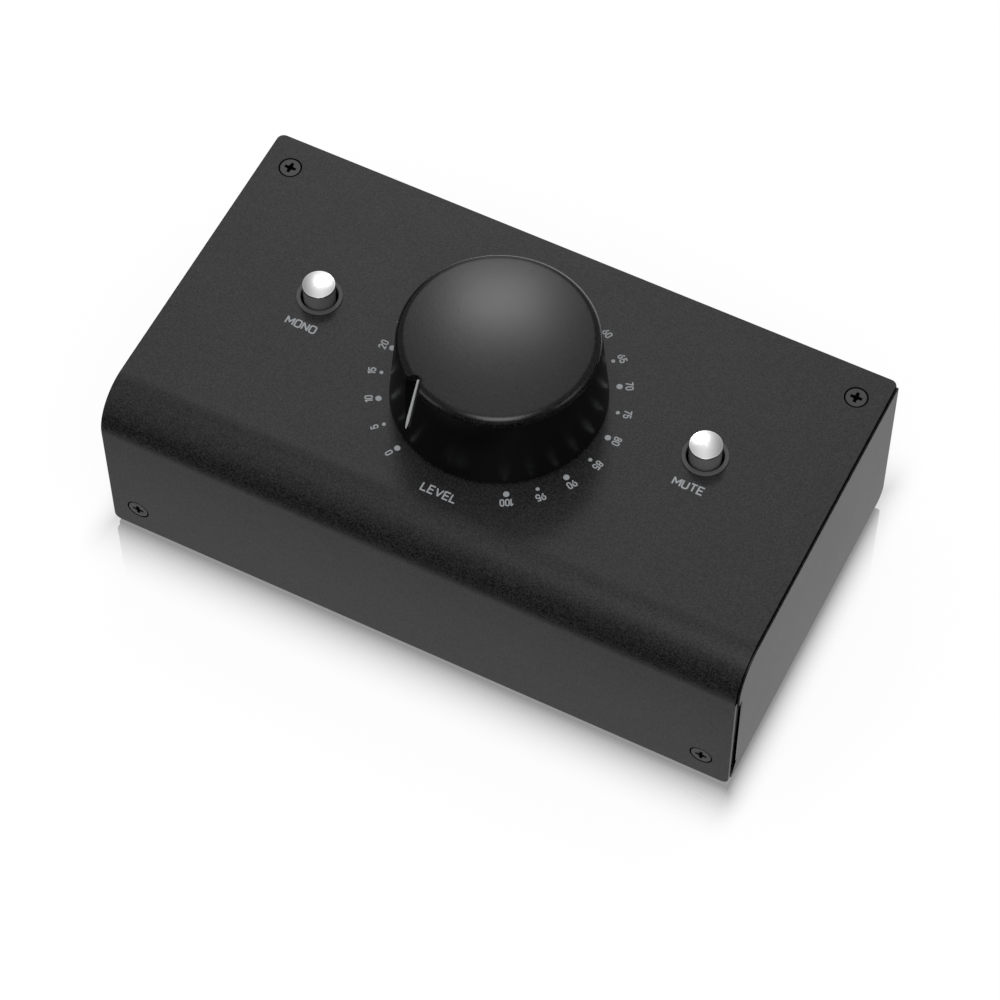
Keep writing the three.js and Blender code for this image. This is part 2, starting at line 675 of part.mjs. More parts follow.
function makeSwitchBody() {
  const [side, slot] = [SWITCH_SIDE / 2, SWITCH_SLOT / 2];
  const low = CONTROL_BOARD_TOP + RESTING_GAP;
  return cut(
    block([-side, -side, low], [side, side, SWITCH_TOP]),
    block([-slot, -slot, SWITCH_SLOT_FLOOR], [slot, slot, SWITCH_TOP + 1]),
  );
}

/** Board with its top face at z = 0 and two fixing holes. */
function makeBoard([width, depth], centreY, [fixX, fixY]) {
  const plate = plateZ(roundedRectangle(width, depth, 1.5), -BOARD_THICKNESS, 0, 3);
  const hole = SCREW_SHANK_RADIUS + 0.2;
  const spots = [-1, 1].map((turn) => [turn * fixX, fixY - centreY]);
  return cut(plate, ...spots.map((spot) => rodZ(hole, -THROUGH, THROUGH, spot, SMALL_ROUND)));
}

/** Standoff of a given length from z = 0 up, bored right through for its screw. */
function makeStandoff(length) {
  const bore = SCREW_SHANK_RADIUS + RESTING_GAP;
  return cut(
    rodZ(STANDOFF_RADIUS, 0, length, [0, 0], SMALL_ROUND),
    rodZ(bore, -1, length + 1, [0, 0], SMALL_ROUND),
  );
}

/** Pan-head board screw: head on z = 0 and above, shank below. */
function makeBoardScrew() {
  const head = BOARD_SCREW_HEAD;
  const height = BOARD_SCREW_HEAD_HEIGHT;
  return turned([
    [0, -BOARD_SCREW_LENGTH],
    [SCREW_SHANK_RADIUS, -BOARD_SCREW_LENGTH],
    [SCREW_SHANK_RADIUS, 0],
    [head, 0],
    [head, height / 2],
    [head / 2, height],
    [0, height],
  ], SMALL_ROUND);
}

/** Shared connector body about (0, 0) in (x, z): lip through the wall, flange, barrel and leg inside. */
function connectorBlank() {
  const [width, height] = CONNECTOR_FLANGE;
  const flangeRear = CHASSIS_REAR - CHASSIS_SHEET - RESTING_GAP;
  const flangeFront = flangeRear - CONNECTOR_FLANGE_THICKNESS;
  const low = JACK_BOARD_TOP + RESTING_GAP - CONNECTOR_Z;
  const half = CONNECTOR_LEG_HALF;
  const screwHoles = connectorScrewSpots(0).map(([x, z]) =>
    rodY(CONNECTOR_SCREW_SHANK + RESTING_GAP, flangeFront - 1, THROUGH, [x, z - CONNECTOR_Z], SMALL_ROUND));
  const body = join(
    plateY(roundedRectangle(width, height, 3), flangeFront, flangeRear, 4),
    rodY(CONNECTOR_LIP_RADIUS, flangeFront, CHASSIS_REAR + CONNECTOR_PROUD),
    rodY(CONNECTOR_BARREL_RADIUS, CONNECTOR_FRONT, flangeRear),
    block([-half, CONNECTOR_FRONT, low], [half, CONNECTOR_LEG_REAR, 0]),
  );
  return cut(body, ...screwHoles);
}

/** Input socket: a ring slot for a round connector's shell and a bore for a 6.35 mm plug. */
function makeInputSocket() {
  const front = CHASSIS_REAR + CONNECTOR_PROUD;
  const slot = cut(
    rodY(SOCKET_SLOT_RADIUS, front - SOCKET_SLOT_DEPTH, THROUGH),
    rodY(SOCKET_INSERT_RADIUS, front - SOCKET_SLOT_DEPTH - 1, front - 1),
  );
  const bore = rodY(SOCKET_PLUG_BORE, front - SOCKET_PLUG_DEPTH, THROUGH, [0, 0], SMALL_ROUND);
  const contacts = pinSpots().map((spot) => rodY(PIN_RADIUS, front - PIN_LENGTH, THROUGH, spot, PIN_SIDES));
  return cut(connectorBlank(), slot, bore, ...contacts);
}

/** Three contacts on a circle, the odd one at the bottom. */
function pinSpots() {
  const bearings = [30, 150, 270].map(rad);
  return bearings.map((angle) => [PIN_CIRCLE * Math.cos(angle), PIN_CIRCLE * Math.sin(angle)]);
}

/** Output connector: a deep round cup whose floor holds three pins. */
function makeOutputConnector() {
  const front = CHASSIS_REAR + CONNECTOR_PROUD;
  const floor = front - CUP_DEPTH;
  const seat = PIN_RADIUS + RESTING_GAP;
  const seats = pinSpots().map((spot) => rodY(seat, floor - PIN_ROOT, THROUGH, spot, PIN_SIDES));
  return cut(connectorBlank(), rodY(CUP_RADIUS, floor, THROUGH), ...seats);
}

/** Contact pin along Y, from its root in the cup's floor to a rounded tip. */
function makePin() {
  const tip = 0.5;
  const floor = CHASSIS_REAR + CONNECTOR_PROUD - CUP_DEPTH;
  const points = [
    [0, floor - PIN_ROOT + RESTING_GAP],
    [PIN_RADIUS, floor - PIN_ROOT + RESTING_GAP],
    [PIN_RADIUS, floor + PIN_LENGTH - tip],
    [PIN_RADIUS - tip, floor + PIN_LENGTH],
    [0, floor + PIN_LENGTH],
  ].map(([r, y]) => new THREE.Vector2(r, y));
  return toSolid(new THREE.LatheGeometry(points, PIN_SIDES));
}

/** Connector screw along Y: pan head on the rear wall, shank through the wall and the flange. */
function makeConnectorScrew() {
  const face = CHASSIS_REAR + RESTING_GAP;
  const top = face + CONNECTOR_SCREW_HEAD_HEIGHT;
  const points = [
    [0, face - CONNECTOR_SCREW_LENGTH],
    [CONNECTOR_SCREW_SHANK, face - CONNECTOR_SCREW_LENGTH],
    [CONNECTOR_SCREW_SHANK, face],
    [CONNECTOR_SCREW_HEAD, face],
    [CONNECTOR_SCREW_HEAD, face + CONNECTOR_SCREW_HEAD_HEIGHT / 2],
    [CONNECTOR_SCREW_HEAD * 0.6, top],
    [0, top],
  ].map(([r, y]) => new THREE.Vector2(r, y));
  return toSolid(new THREE.LatheGeometry(points, SMALL_ROUND));
}

/** Stereo jack about (0, 0) in (x, z): block on the board, threaded nose through the wall. */
function makeStereoJack() {
  const half = STEREO_BODY_SIDE / 2;
  const inner = CHASSIS_REAR - CHASSIS_SHEET - WALL_GAP;
  const nose = CHASSIS_REAR + STEREO_PROUD;
  const low = JACK_BOARD_TOP + RESTING_GAP - STEREO_Z;
  const body = block([-half, STEREO_BODY_FRONT, low], [half, inner, half - 0.5]);
  return cut(
    join(body, rodY(STEREO_BUSHING, inner - 1, nose, [0, 0], SMALL_ROUND)),
    rodY(STEREO_BORE, nose - STEREO_BORE_DEPTH, THROUGH, [0, 0], SMALL_ROUND),
  );
}

function makeStereoNut() {
  const low = CHASSIS_REAR + RESTING_GAP;
  return cut(
    rodY(STEREO_NUT_RADIUS, low, low + STEREO_NUT_THICKNESS, [0, 0], SMALL_ROUND),
    rodY(STEREO_BUSHING + RESTING_GAP, low - 1, low + STEREO_NUT_THICKNESS + 1, [0, 0], SMALL_ROUND),
  );
}

/** Header block about (0, 0) in (x, y), standing up from z = 0. */
function makeHeader() {
  const [width, depth, height] = HEADER_SIZE;
  return block([-width / 2, -depth / 2, 0], [width / 2, depth / 2, height]);
}

/** Ribbon cable: an S-shaped band from the upper header down to the lower one. */
function makeRibbon() {
  const high = CONTROL_BOARD_TOP - BOARD_THICKNESS - HEADER_SIZE[2] - 2 * RESTING_GAP - WALL_GAP;
  const low = JACK_BOARD_TOP + HEADER_SIZE[2] + RESTING_GAP + WALL_GAP;
  const bow = 10;
  const path = new THREE.CubicBezierCurve(
    new THREE.Vector2(RIBBON_TOP_Y, high),
    new THREE.Vector2(RIBBON_TOP_Y, high - bow),
    new THREE.Vector2(RIBBON_LOW_Y, low + bow),
    new THREE.Vector2(RIBBON_LOW_Y, low),
  );
  const steps = 12;
  const edges = [[], []];
  for (let i = 0; i <= steps; i += 1) {
    const middle = path.getPoint(i / steps);
    const along = path.getTangent(i / steps);
    const across = new THREE.Vector2(-along.y, along.x).multiplyScalar(RIBBON_THICKNESS / 2);
    edges[0].push(middle.clone().add(across));
    edges[1].unshift(middle.clone().sub(across));
  }
  const shape = new THREE.Shape([...edges[0], ...edges[1]]);
  return plateX(shape, RIBBON_X - RIBBON_WIDTH / 2, RIBBON_X + RIBBON_WIDTH / 2);
}

/** Everything fixed to the case, front to back. */
function buildCase() {
  const group = new THREE.Group();
  group.add(piece('top_cover', makeCover(), steelBlack));
  group.add(piece('chassis', makeChassis(), steelBlack));
  for (const [side, turn] of [['left', -1], ['right', 1]]) {
    const rear = piece(`cover_screw_rear_${side}`, makeCoverScrew(), screwBlack);
    group.add(placed(rear, turn * SCREW_X, REAR_SCREW_Y, COVER_TOP));
    const front = piece(`cover_screw_front_${side}`, makeCoverScrew(), screwBlack);
    front.rotation.x = Math.PI / 2;
    group.add(placed(front, turn * SCREW_X, 0, FRONT_SCREW_Z));
    group.add(placed(piece(`foot_front_${side}`, makeFoot(), rubberBlack), turn * FOOT_X, FOOT_FRONT_Y, 0));
    group.add(placed(piece(`foot_rear_${side}`, makeFoot(), rubberBlack), turn * FOOT_X, FOOT_REAR_Y, 0));
  }
  return group;
}

/** Volume control: what is fixed to the cover and what turns with the knob. */
function buildVolume() {
  const group = placed(new THREE.Group(), 0, KNOB_Y, COVER_TOP);
  group.add(piece('pot_body', makePotBody(), nickel));
  group.add(piece('pot_bushing', makeBushing(), brass));
  group.add(piece('pot_washer', makeWasher(), nickel));
  group.add(piece('pot_nut', makeNut(), nickel));
  group.add(piece('volume_knob', makeKnob(), knobBlack));
  group.add(piece('knob_pointer', makePointer(), pointerWhite));
  group.add(piece('knob_insert', makeInsert(), brass));
  group.add(piece('pot_shaft', makeShaft(), nickel));
  return group;
}

/** One push button with its bezel and switch. */
function buildButton(name, x) {
  const group = placed(new THREE.Group(), x, BUTTON_Y, COVER_TOP);
  group.add(piece(`${name}_button_cap`, makeButtonCap(), silver));
  group.add(piece(`${name}_button_stem`, makeButtonStem(), plasticBlack));
  group.add(piece(`${name}_bezel_ring`, makeBezel(), plasticBlack));
  group.add(placed(piece(`${name}_switch_body`, makeSwitchBody(), plasticBlack), 0, 0, -COVER_TOP));
  return group;
}

/** Control board under the cover, hung from two standoffs. */
function buildControlBoard() {
  const group = new THREE.Group();
  const [fixX, fixY] = CONTROL_FIXING;
  const underside = CONTROL_BOARD_TOP - BOARD_THICKNESS;
  const board = makeBoard(CONTROL_BOARD_SIZE, CONTROL_BOARD_Y, CONTROL_FIXING);
  group.add(placed(piece('control_board', board, boardGreen), 0, CONTROL_BOARD_Y, CONTROL_BOARD_TOP));
  const standoff = makeStandoff(COVER_UNDERSIDE - CONTROL_BOARD_TOP - 2 * RESTING_GAP);
  for (const [side, turn] of [['left', -1], ['right', 1]]) {
    const post = piece(`control_standoff_${side}`, standoff, nickel);
    group.add(placed(post, turn * fixX, fixY, CONTROL_BOARD_TOP + RESTING_GAP));
    const screw = piece(`control_board_screw_${side}`, makeBoardScrew(), screwBlack);
    screw.rotation.x = Math.PI;
    group.add(placed(screw, turn * fixX, fixY, underside - RESTING_GAP));
  }
  return group;
}

/** Connector board on the chassis bottom, with the connectors at the rear wall. */
function buildRear() {
  const group = new THREE.Group();
  const [fixX, fixY] = JACK_FIXING;
  const floor = CHASSIS_BOTTOM + CHASSIS_SHEET;
  const board = makeBoard(JACK_BOARD_SIZE, JACK_BOARD_Y, JACK_FIXING);
  group.add(placed(piece('jack_board', board, boardGreen), 0, JACK_BOARD_Y, JACK_BOARD_TOP));
  const standoff = makeStandoff(JACK_BOARD_TOP - BOARD_THICKNESS - floor - 2 * RESTING_GAP);
  for (const [side, turn] of [['left', -1], ['right', 1]]) {
    const post = piece(`jack_standoff_${side}`, standoff, nickel);
    group.add(placed(post, turn * fixX, fixY, floor + RESTING_GAP));
    const screw = piece(`jack_board_screw_${side}`, makeBoardScrew(), screwBlack);
    group.add(placed(screw, turn * fixX, fixY, JACK_BOARD_TOP + RESTING_GAP));
  }
  const sides = ['left', 'right'];
  sides.forEach((side, i) => {
    const input = piece(`input_socket_${side}`, makeInputSocket(), plasticBlack);
    group.add(placed(input, INPUT_X[i], 0, CONNECTOR_Z));
    const output = piece(`output_connector_${side}`, makeOutputConnector(), plasticBlack);
    group.add(placed(output, OUTPUT_X[i], 0, CONNECTOR_Z));
    pinSpots().forEach(([x, z], k) => {
      const pin = piece(`output_pin_${side}_${k + 1}`, makePin(), silver);
      group.add(placed(pin, OUTPUT_X[i] + x, 0, CONNECTOR_Z + z));
    });
  });
  const connectors = {
    input_left: INPUT_X[0],
    input_right: INPUT_X[1],
    output_left: OUTPUT_X[0],
    output_right: OUTPUT_X[1],
  };
  for (const [name, x] of Object.entries(connectors)) {
    connectorScrewSpots(x).forEach(([sx, sz], k) => {
      const label = k === 0 ? 'upper' : 'lower';
      group.add(placed(piece(`${name}_screw_${label}`, makeConnectorScrew(), screwBlack), sx, 0, sz));
    });
  }
  group.add(placed(piece('stereo_jack', makeStereoJack(), plasticBlack), 0, 0, STEREO_Z));
  group.add(placed(piece('stereo_jack_nut', makeStereoNut(), nickel), 0, 0, STEREO_Z));
  return group;
}

/** Ribbon cable with a header on each board. */
function buildRibbon() {
  const group = new THREE.Group();
  const underside = CONTROL_BOARD_TOP - BOARD_THICKNESS - RESTING_GAP;
  group.add(piece('ribbon_cable', makeRibbon(), ribbonGrey));
  const upper = piece('ribbon_header_control', makeHeader(), plasticBlack);
  group.add(placed(upper, RIBBON_X, RIBBON_TOP_Y, underside - HEADER_SIZE[2]));
  const lower = piece('ribbon_header_jack', makeHeader(), plasticBlack);
  group.add(placed(lower, RIBBON_X, RIBBON_LOW_Y, JACK_BOARD_TOP + RESTING_GAP));
  return group;
}

const controller = new THREE.Group();
const body = placed(new THREE.Group(), 0, -OVERALL_DEPTH / 2, 0);
body.add(buildCase());
body.add(buildVolume());
body.add(buildButton('mono', -BUTTON_X));
body.add(buildButton('mute', BUTTON_X));
body.add(buildControlBoard());
body.add(buildRear());
body.add(buildRibbon());
controller.add(body);

export default controller;
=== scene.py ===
import logging
import math
from collections.abc import Sequence
from dataclasses import dataclass
from enum import Enum

import bmesh
import bpy
import numpy as np
from mathutils import Matrix, Vector


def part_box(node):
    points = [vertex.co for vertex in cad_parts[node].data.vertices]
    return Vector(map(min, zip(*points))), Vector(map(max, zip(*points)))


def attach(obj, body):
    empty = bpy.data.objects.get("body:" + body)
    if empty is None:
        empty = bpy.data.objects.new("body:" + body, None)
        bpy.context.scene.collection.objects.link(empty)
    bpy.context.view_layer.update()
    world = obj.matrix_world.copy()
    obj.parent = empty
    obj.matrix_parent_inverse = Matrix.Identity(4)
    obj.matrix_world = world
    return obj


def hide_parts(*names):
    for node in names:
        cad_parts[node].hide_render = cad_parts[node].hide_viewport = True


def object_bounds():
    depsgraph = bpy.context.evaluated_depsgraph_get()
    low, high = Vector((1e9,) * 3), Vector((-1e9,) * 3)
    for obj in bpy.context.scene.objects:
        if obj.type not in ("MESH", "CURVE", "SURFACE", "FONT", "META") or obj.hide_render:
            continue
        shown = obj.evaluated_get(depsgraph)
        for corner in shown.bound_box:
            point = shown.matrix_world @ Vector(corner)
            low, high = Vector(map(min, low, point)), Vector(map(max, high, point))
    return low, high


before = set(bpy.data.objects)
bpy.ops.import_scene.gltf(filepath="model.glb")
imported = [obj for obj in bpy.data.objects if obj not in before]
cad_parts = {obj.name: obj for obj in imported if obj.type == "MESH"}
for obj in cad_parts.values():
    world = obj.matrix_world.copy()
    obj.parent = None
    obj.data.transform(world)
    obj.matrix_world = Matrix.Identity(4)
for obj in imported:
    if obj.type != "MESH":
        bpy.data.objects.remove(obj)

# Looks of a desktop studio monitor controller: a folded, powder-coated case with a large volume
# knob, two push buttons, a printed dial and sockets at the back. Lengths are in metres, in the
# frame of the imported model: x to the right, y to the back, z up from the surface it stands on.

log = logging.getLogger("controller")

MERGE_DISTANCE = 1.5e-6
SHARP_ANGLE = math.radians(38)
GUARD = 3e-5
SIDES = ("left", "right")

Corner = tuple[float, float, float]
Faces = list[tuple[int, ...]]


def centre_of(node: str) -> Vector:
    """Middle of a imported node's box."""
    low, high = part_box(node)
    return (low + high) / 2


def radius_of(node: str) -> float:
    """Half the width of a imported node's box."""
    low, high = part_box(node)
    return (high - low).x / 2


CAD_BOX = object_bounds()
COVER_LOW, COVER_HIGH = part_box("top_cover")
CASE_LOW, CASE_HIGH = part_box("chassis")
FRONT, TOP, REAR = COVER_LOW.y, COVER_HIGH.z, CASE_HIGH.y
KNOB_AXIS = centre_of("pot_washer")


class Plane(Enum):
    """Where an outline's two directions and its thickness lie, as axis numbers."""

    FLOOR = (0, 1, 2)
    WALL = (0, 2, 1)
    SIDE = (1, 2, 0)

    def lay(self, points: np.ndarray) -> np.ndarray:
        """Moves (first, second, thickness) coordinates to the axes of this plane.

        Args:
            points: array whose last axis is (first, second, thickness).

        Returns:
            The same points as (x, y, z).
        """
        laid = np.empty_like(points)
        laid[..., list(self.value)] = points
        return laid


@dataclass
class Shell:
    """One surface.

    Attributes:
        points: point coordinates.
        faces: the point numbers of each face.
    """

    points: np.ndarray
    faces: Faces


def lattice(points: np.ndarray, ring: bool = False, tube: bool = False, ends: bool = False) -> Shell:
    """Joins a grid of points into quads: each point with its right, lower and lower right neighbour.

    Args:
        points: array of rows x columns x 3.
        ring: the last row joins the first.
        tube: the last column joins the first.
        ends: the first and the last row are each closed by one flat face.

    Returns:
        The surface.
    """
    rows, columns = points.shape[:2]
    number = np.arange(rows * columns).reshape(rows, columns)
    grid = np.vstack([number, number[:1]]) if ring else number
    grid = np.hstack([grid, grid[:, :1]]) if tube else grid
    quads = np.stack([grid[:-1, :-1], grid[:-1, 1:], grid[1:, 1:], grid[1:, :-1]], axis=-1)
    faces: Faces = [tuple(quad) for quad in quads.reshape(-1, 4).tolist()]
    if ends:
        faces += [tuple(number[0].tolist()), tuple(number[-1, ::-1].tolist())]
    return Shell(points.reshape(-1, 3), faces)


def filleted(
    corners: Sequence[Corner] | np.ndarray, closed: bool = True, steps: int = 6, guard: float = GUARD
) -> np.ndarray:
    """Rounds the corners of a path.

    Each corner becomes an arc that touches both of its sides. Its points are the arc's centre
    plus the radius times a direction that turns evenly from one touching point to the other. A
    guard point just outside each end of the arc keeps the flat sides flat in shading.

    Args:
        corners: (first, second, radius) of each corner, where radius 0 leaves it sharp.
        closed: the path returns to its start. An open path's two ends are never rounded.
        steps: parts that each arc is divided into.
        guard: distance of the guard points from the arcs.

    Returns:
        The path as an array of points x 2.
    """
    table = np.array(corners, float)
    spots, radii = table[:, :2], table[:, 2]
    back = np.roll(spots, 1, axis=0) - spots
    ahead = np.roll(spots, -1, axis=0) - spots
    back /= np.linalg.norm(back, axis=1)[:, None]
    ahead /= np.linalg.norm(ahead, axis=1)[:, None]
    half = np.arccos(np.clip((back * ahead).sum(1), -0.999999, 0.999999)) / 2
    reach = (radii / np.tan(half))[:, None]
    middle = back + ahead
    middle /= np.linalg.norm(middle, axis=1)[:, None]
    centres = spots + middle * (radii / np.sin(half))[:, None]
    span = math.pi - 2 * half
    share = np.linspace(0, 1, steps + 1)[:, None]
    first, last = spots + back * reach - centres, spots + ahead * reach - centres
    turn = np.sin((1 - share) * span)[..., None] * first + np.sin(share * span)[..., None] * last
    arcs = centres + turn / np.sin(span)[:, None]
    beyond = reach + np.where(radii > 0, guard, 0)[:, None]
    path = np.concatenate([(spots + back * beyond)[None], arcs, (spots + ahead * beyond)[None]])
    path = path.transpose(1, 0, 2)
    if not closed:
        path[0], path[-1] = spots[0], spots[-1]
    path = path.reshape(-1, 2)
    apart = np.linalg.norm(np.diff(path, axis=0), axis=1) > MERGE_DISTANCE
    kept = path[np.concatenate([[True], apart])]
    if closed and np.linalg.norm(kept[0] - kept[-1]) < MERGE_DISTANCE:
        kept = kept[:-1]
    return kept


def turned(
    profile: np.ndarray, centre: Sequence[float], steps: int = 96, plane: Plane = Plane.FLOOR
) -> Shell:
    """Turns a profile about an axis: each point runs round a circle of its own radius.

    Args:
        profile: (radius, distance along the axis) points. A profile that doesn't start and end
            on the axis is closed on itself.
        centre: a point on the axis, from which the profile's distances count.
        steps: points round the circle.
        plane: where the circles lie.

    Returns:
        The closed surface.
    """
    angle = np.linspace(0, 2 * math.pi, steps, endpoint=False)
    radius, along = profile[:, :1], np.repeat(profile[:, 1:], steps, axis=1)
    circles = np.stack([radius * np.cos(angle), radius * np.sin(angle), along], axis=-1)
    on_axis = profile[0, 0] < MERGE_DISTANCE and profile[-1, 0] < MERGE_DISTANCE
    return lattice(plane.lay(circles) + np.array(centre, float), ring=not on_axis, tube=True)


def cylinder(
    radius: float, low: float, high: float, centre: Sequence[float], steps: int, plane: Plane = Plane.FLOOR
) -> Shell:
    """A plain cylinder between two distances along the axis."""
    profile = np.array([[0, low], [radius, low], [radius, high], [0, high]])
    return turned(profile, centre, steps, plane)


def outward(outline: np.ndarray) -> np.ndarray:
    """Offset of each point of a closed outline that moves both of its sides out by one unit."""
    following_point = np.roll(outline, -1, axis=0)
    side = following_point - outline
    side /= np.linalg.norm(side, axis=1)[:, None]
    following = np.stack([side[:, 1], -side[:, 0]], axis=1)
    previous = np.roll(following, 1, axis=0)
    mitre = (following + previous) / (1 + (following * previous).sum(1))[:, None]
    area = (outline[:, 0] * following_point[:, 1] - following_point[:, 0] * outline[:, 1]).sum()
    return mitre if area > 0 else -mitre


def edge_section(thickness: float, edge: float, steps: int = 3) -> np.ndarray:
    """Section of a rounded edge as (inset, depth), from the upper face round to the lower face."""
    angle = np.linspace(0, math.pi / 2, steps + 1)
    inset, depth = edge * (1 - np.sin(angle)), edge * (1 - np.cos(angle))
    upper = np.stack([inset, depth], axis=1)
    lower = np.stack([inset, thickness - depth], axis=1)[::-1]
    guard = np.array([[edge + GUARD, 0.0]])
    return np.concatenate([guard, upper, lower, guard + [0.0, thickness]])


def plate(outline: np.ndarray, low: float, high: float, edge: float, plane: Plane) -> Shell:
    """A plate with rounded edges: the outline moved in by each inset of the edge's section.

    Args:
        outline: closed path of points x 2.
        low: lower end of the thickness.
        high: upper end of the thickness.
        edge: radius of the rounded edges.
        plane: where the outline lies.

    Returns:
        The closed surface.
    """
    section = edge_section(high - low, edge)
    flat = outline[None] - outward(outline)[None] * section[:, :1, None]
    level = np.broadcast_to((high - section[:, 1])[:, None, None], flat.shape[:2] + (1,))
    return lattice(plane.lay(np.concatenate([flat, level], axis=-1)), tube=True, ends=True)


def rectangle(centre: Sequence[float], width: float, height: float, radius: float) -> np.ndarray:
    """Outline of a rectangle with rounded corners."""
    (x, y), w, h = centre, width / 2, height / 2
    return filleted([(x + i * w, y + j * h, radius) for i, j in ((-1, -1), (1, -1), (1, 1), (-1, 1))])


def smooth(mesh: bpy.types.Mesh, sharp: float = SHARP_ANGLE) -> None:
    """Shades a mesh smooth, apart from edges that bend more than the given angle."""
    mesh.shade_smooth()
    mesh.set_sharp_from_angle(angle=sharp)


def assemble(name: str, shells: Sequence[Shell], sharp: float = SHARP_ANGLE) -> bpy.types.Object:
    """Makes one object of several surfaces, with merged seams and poles and faces that point out.

    Args:
        name: the object's name.
        shells: closed surfaces that it consists of.
        sharp: edges that bend more than this stay sharp in shading.

    Returns:
        The object, linked to the scene.
    """
    starts = np.cumsum([0] + [len(shell.points) for shell in shells]).tolist()
    points = np.concatenate([shell.points for shell in shells])
    faces = [tuple(n + start for n in face) for shell, start in zip(shells, starts) for face in shell.faces]
    mesh = bpy.data.meshes.new(name)
    mesh.from_pydata(points.tolist(), [], faces)
    work = bmesh.new()
    work.from_mesh(mesh)
    bmesh.ops.remove_doubles(work, verts=work.verts, dist=MERGE_DISTANCE)
    bmesh.ops.recalc_face_normals(work, faces=work.faces)
    work.to_mesh(mesh)
    work.free()
    smooth(mesh, sharp)
    piece = bpy.data.objects.new(name, mesh)
    bpy.context.scene.collection.objects.link(piece)
    return piece


def carved(piece: bpy.types.Object, tools: Sequence[Shell]) -> bpy.types.Object:
    """Cuts holes into a piece with an exact boolean, and keeps the result as its mesh."""
    tool = assemble(f"{piece.name}_holes", tools)
    cut = piece.modifiers.new("holes", "BOOLEAN")
    cut.operation, cut.solver, cut.object = "DIFFERENCE", "EXACT", tool
    made = bpy.data.meshes.new_from_object(piece.evaluated_get(bpy.context.evaluated_depsgraph_get()))
    uncut = piece.data
    piece.modifiers.clear()
    piece.data = made
    bpy.data.meshes.remove(uncut)
    bpy.data.objects.remove(tool)
    made.name = piece.name
    smooth(made)
    return piece


def face_centres(piece: bpy.types.Object) -> np.ndarray:
    """Centres of a piece's faces, as an array of faces x 3."""
    centres = np.empty(len(piece.data.polygons) * 3, np.float32)
    piece.data.polygons.foreach_get("center", centres)
    return centres.reshape(-1, 3)


def use_second_look(piece: bpy.types.Object, chosen: np.ndarray) -> None:
    """Gives the chosen faces of a piece its second material."""
    slots = np.zeros(len(piece.data.polygons), np.int32)
    piece.data.polygons.foreach_get("material_index", slots)
    slots[chosen] = 1
    piece.data.polygons.foreach_set("material_index", slots)
    piece.data.update()


def grey(level: float, cool: float = 0.0) -> tuple[float, float, float]:
    """Linear colour of a grey.

    Args:
        level: its level on screen, from 0 to 255.
        cool: share by which blue is raised and red lowered.

    Returns:
        Red, green and blue.
    """
    value = level / 255
    linear = value / 12.92 if value <= 0.04045 else ((value + 0.055) / 1.055) ** 2.4
    return linear * (1 - cool), linear, linear * (1 + cool)


class Graph:
    """Adds nodes to one node tree and links them. A value is a number, a tuple or a socket."""

    def __init__(self, tree: bpy.types.NodeTree) -> None:
        """Takes the tree that the nodes go into."""
        self.tree = tree

    def put(self, value: object, socket: bpy.types.NodeSocket) -> None:
        """Links a socket to an input, or sets the input to a constant."""
        if isinstance(value, bpy.types.NodeSocket):
            self.tree.links.new(value, socket)
        else:
            socket.default_value = value

    def fill(self, node: bpy.types.Node, **settings: object) -> bpy.types.Node:
        """Sets a node's properties and inputs.

        Args:
            node: the node.
            **settings: values by name. A name that isn't a property is an input's name, with
                underscores for spaces.

        Returns:
            The same node.
        """
        for name, value in settings.items():
            if hasattr(node, name):
                setattr(node, name, value)
            else:
                self.put(value, node.inputs[name.replace("_", " ")])
        return node

    def add(self, kind: str, **settings: object) -> bpy.types.Node:
        """Adds a node, named without the common prefix of its type, and fills it."""
        return self.fill(self.tree.nodes.new(f"ShaderNode{kind}"), **settings)

    def place(self) -> bpy.types.NodeSocket:
        """The piece's own coordinates."""
        return self.add("TexCoord").outputs["Object"]

    def math(self, operation: str, *values: object) -> bpy.types.NodeSocket:
        """Adds a math node on the values, and returns its output."""
        node = self.add("Math", operation=operation)
        for socket, value in zip(node.inputs, values):
            self.put(value, socket)
        return node.outputs[0]

    def vector(self, operation: str, *values: object) -> bpy.types.NodeSocket:
        """Adds a vector math node on the values, and returns the output that it uses."""
        node = self.add("VectorMath", operation=operation)
        for socket, value in zip(node.inputs, values):
            self.put(value, socket)
        return node.outputs["Value" if operation in ("DOT_PRODUCT", "LENGTH") else "Vector"]

    def ramp(
        self, value: bpy.types.NodeSocket, span: Sequence[float], to: Sequence[float]
    ) -> bpy.types.NodeSocket:
        """Maps a value smoothly from one span to another, and returns the output."""
        (low, high), (first, last) = span, to
        node = self.add(
            "MapRange", interpolation_type="SMOOTHSTEP", Value=value,
            From_Min=low, From_Max=high, To_Min=first, To_Max=last,
        )
        return node.outputs["Result"]

    def bump(self, height: bpy.types.NodeSocket, depth: float) -> bpy.types.NodeSocket:
        """Normal of a relief with the given depth."""
        return self.add("Bump", Strength=1.0, Distance=depth, Height=height).outputs["Normal"]


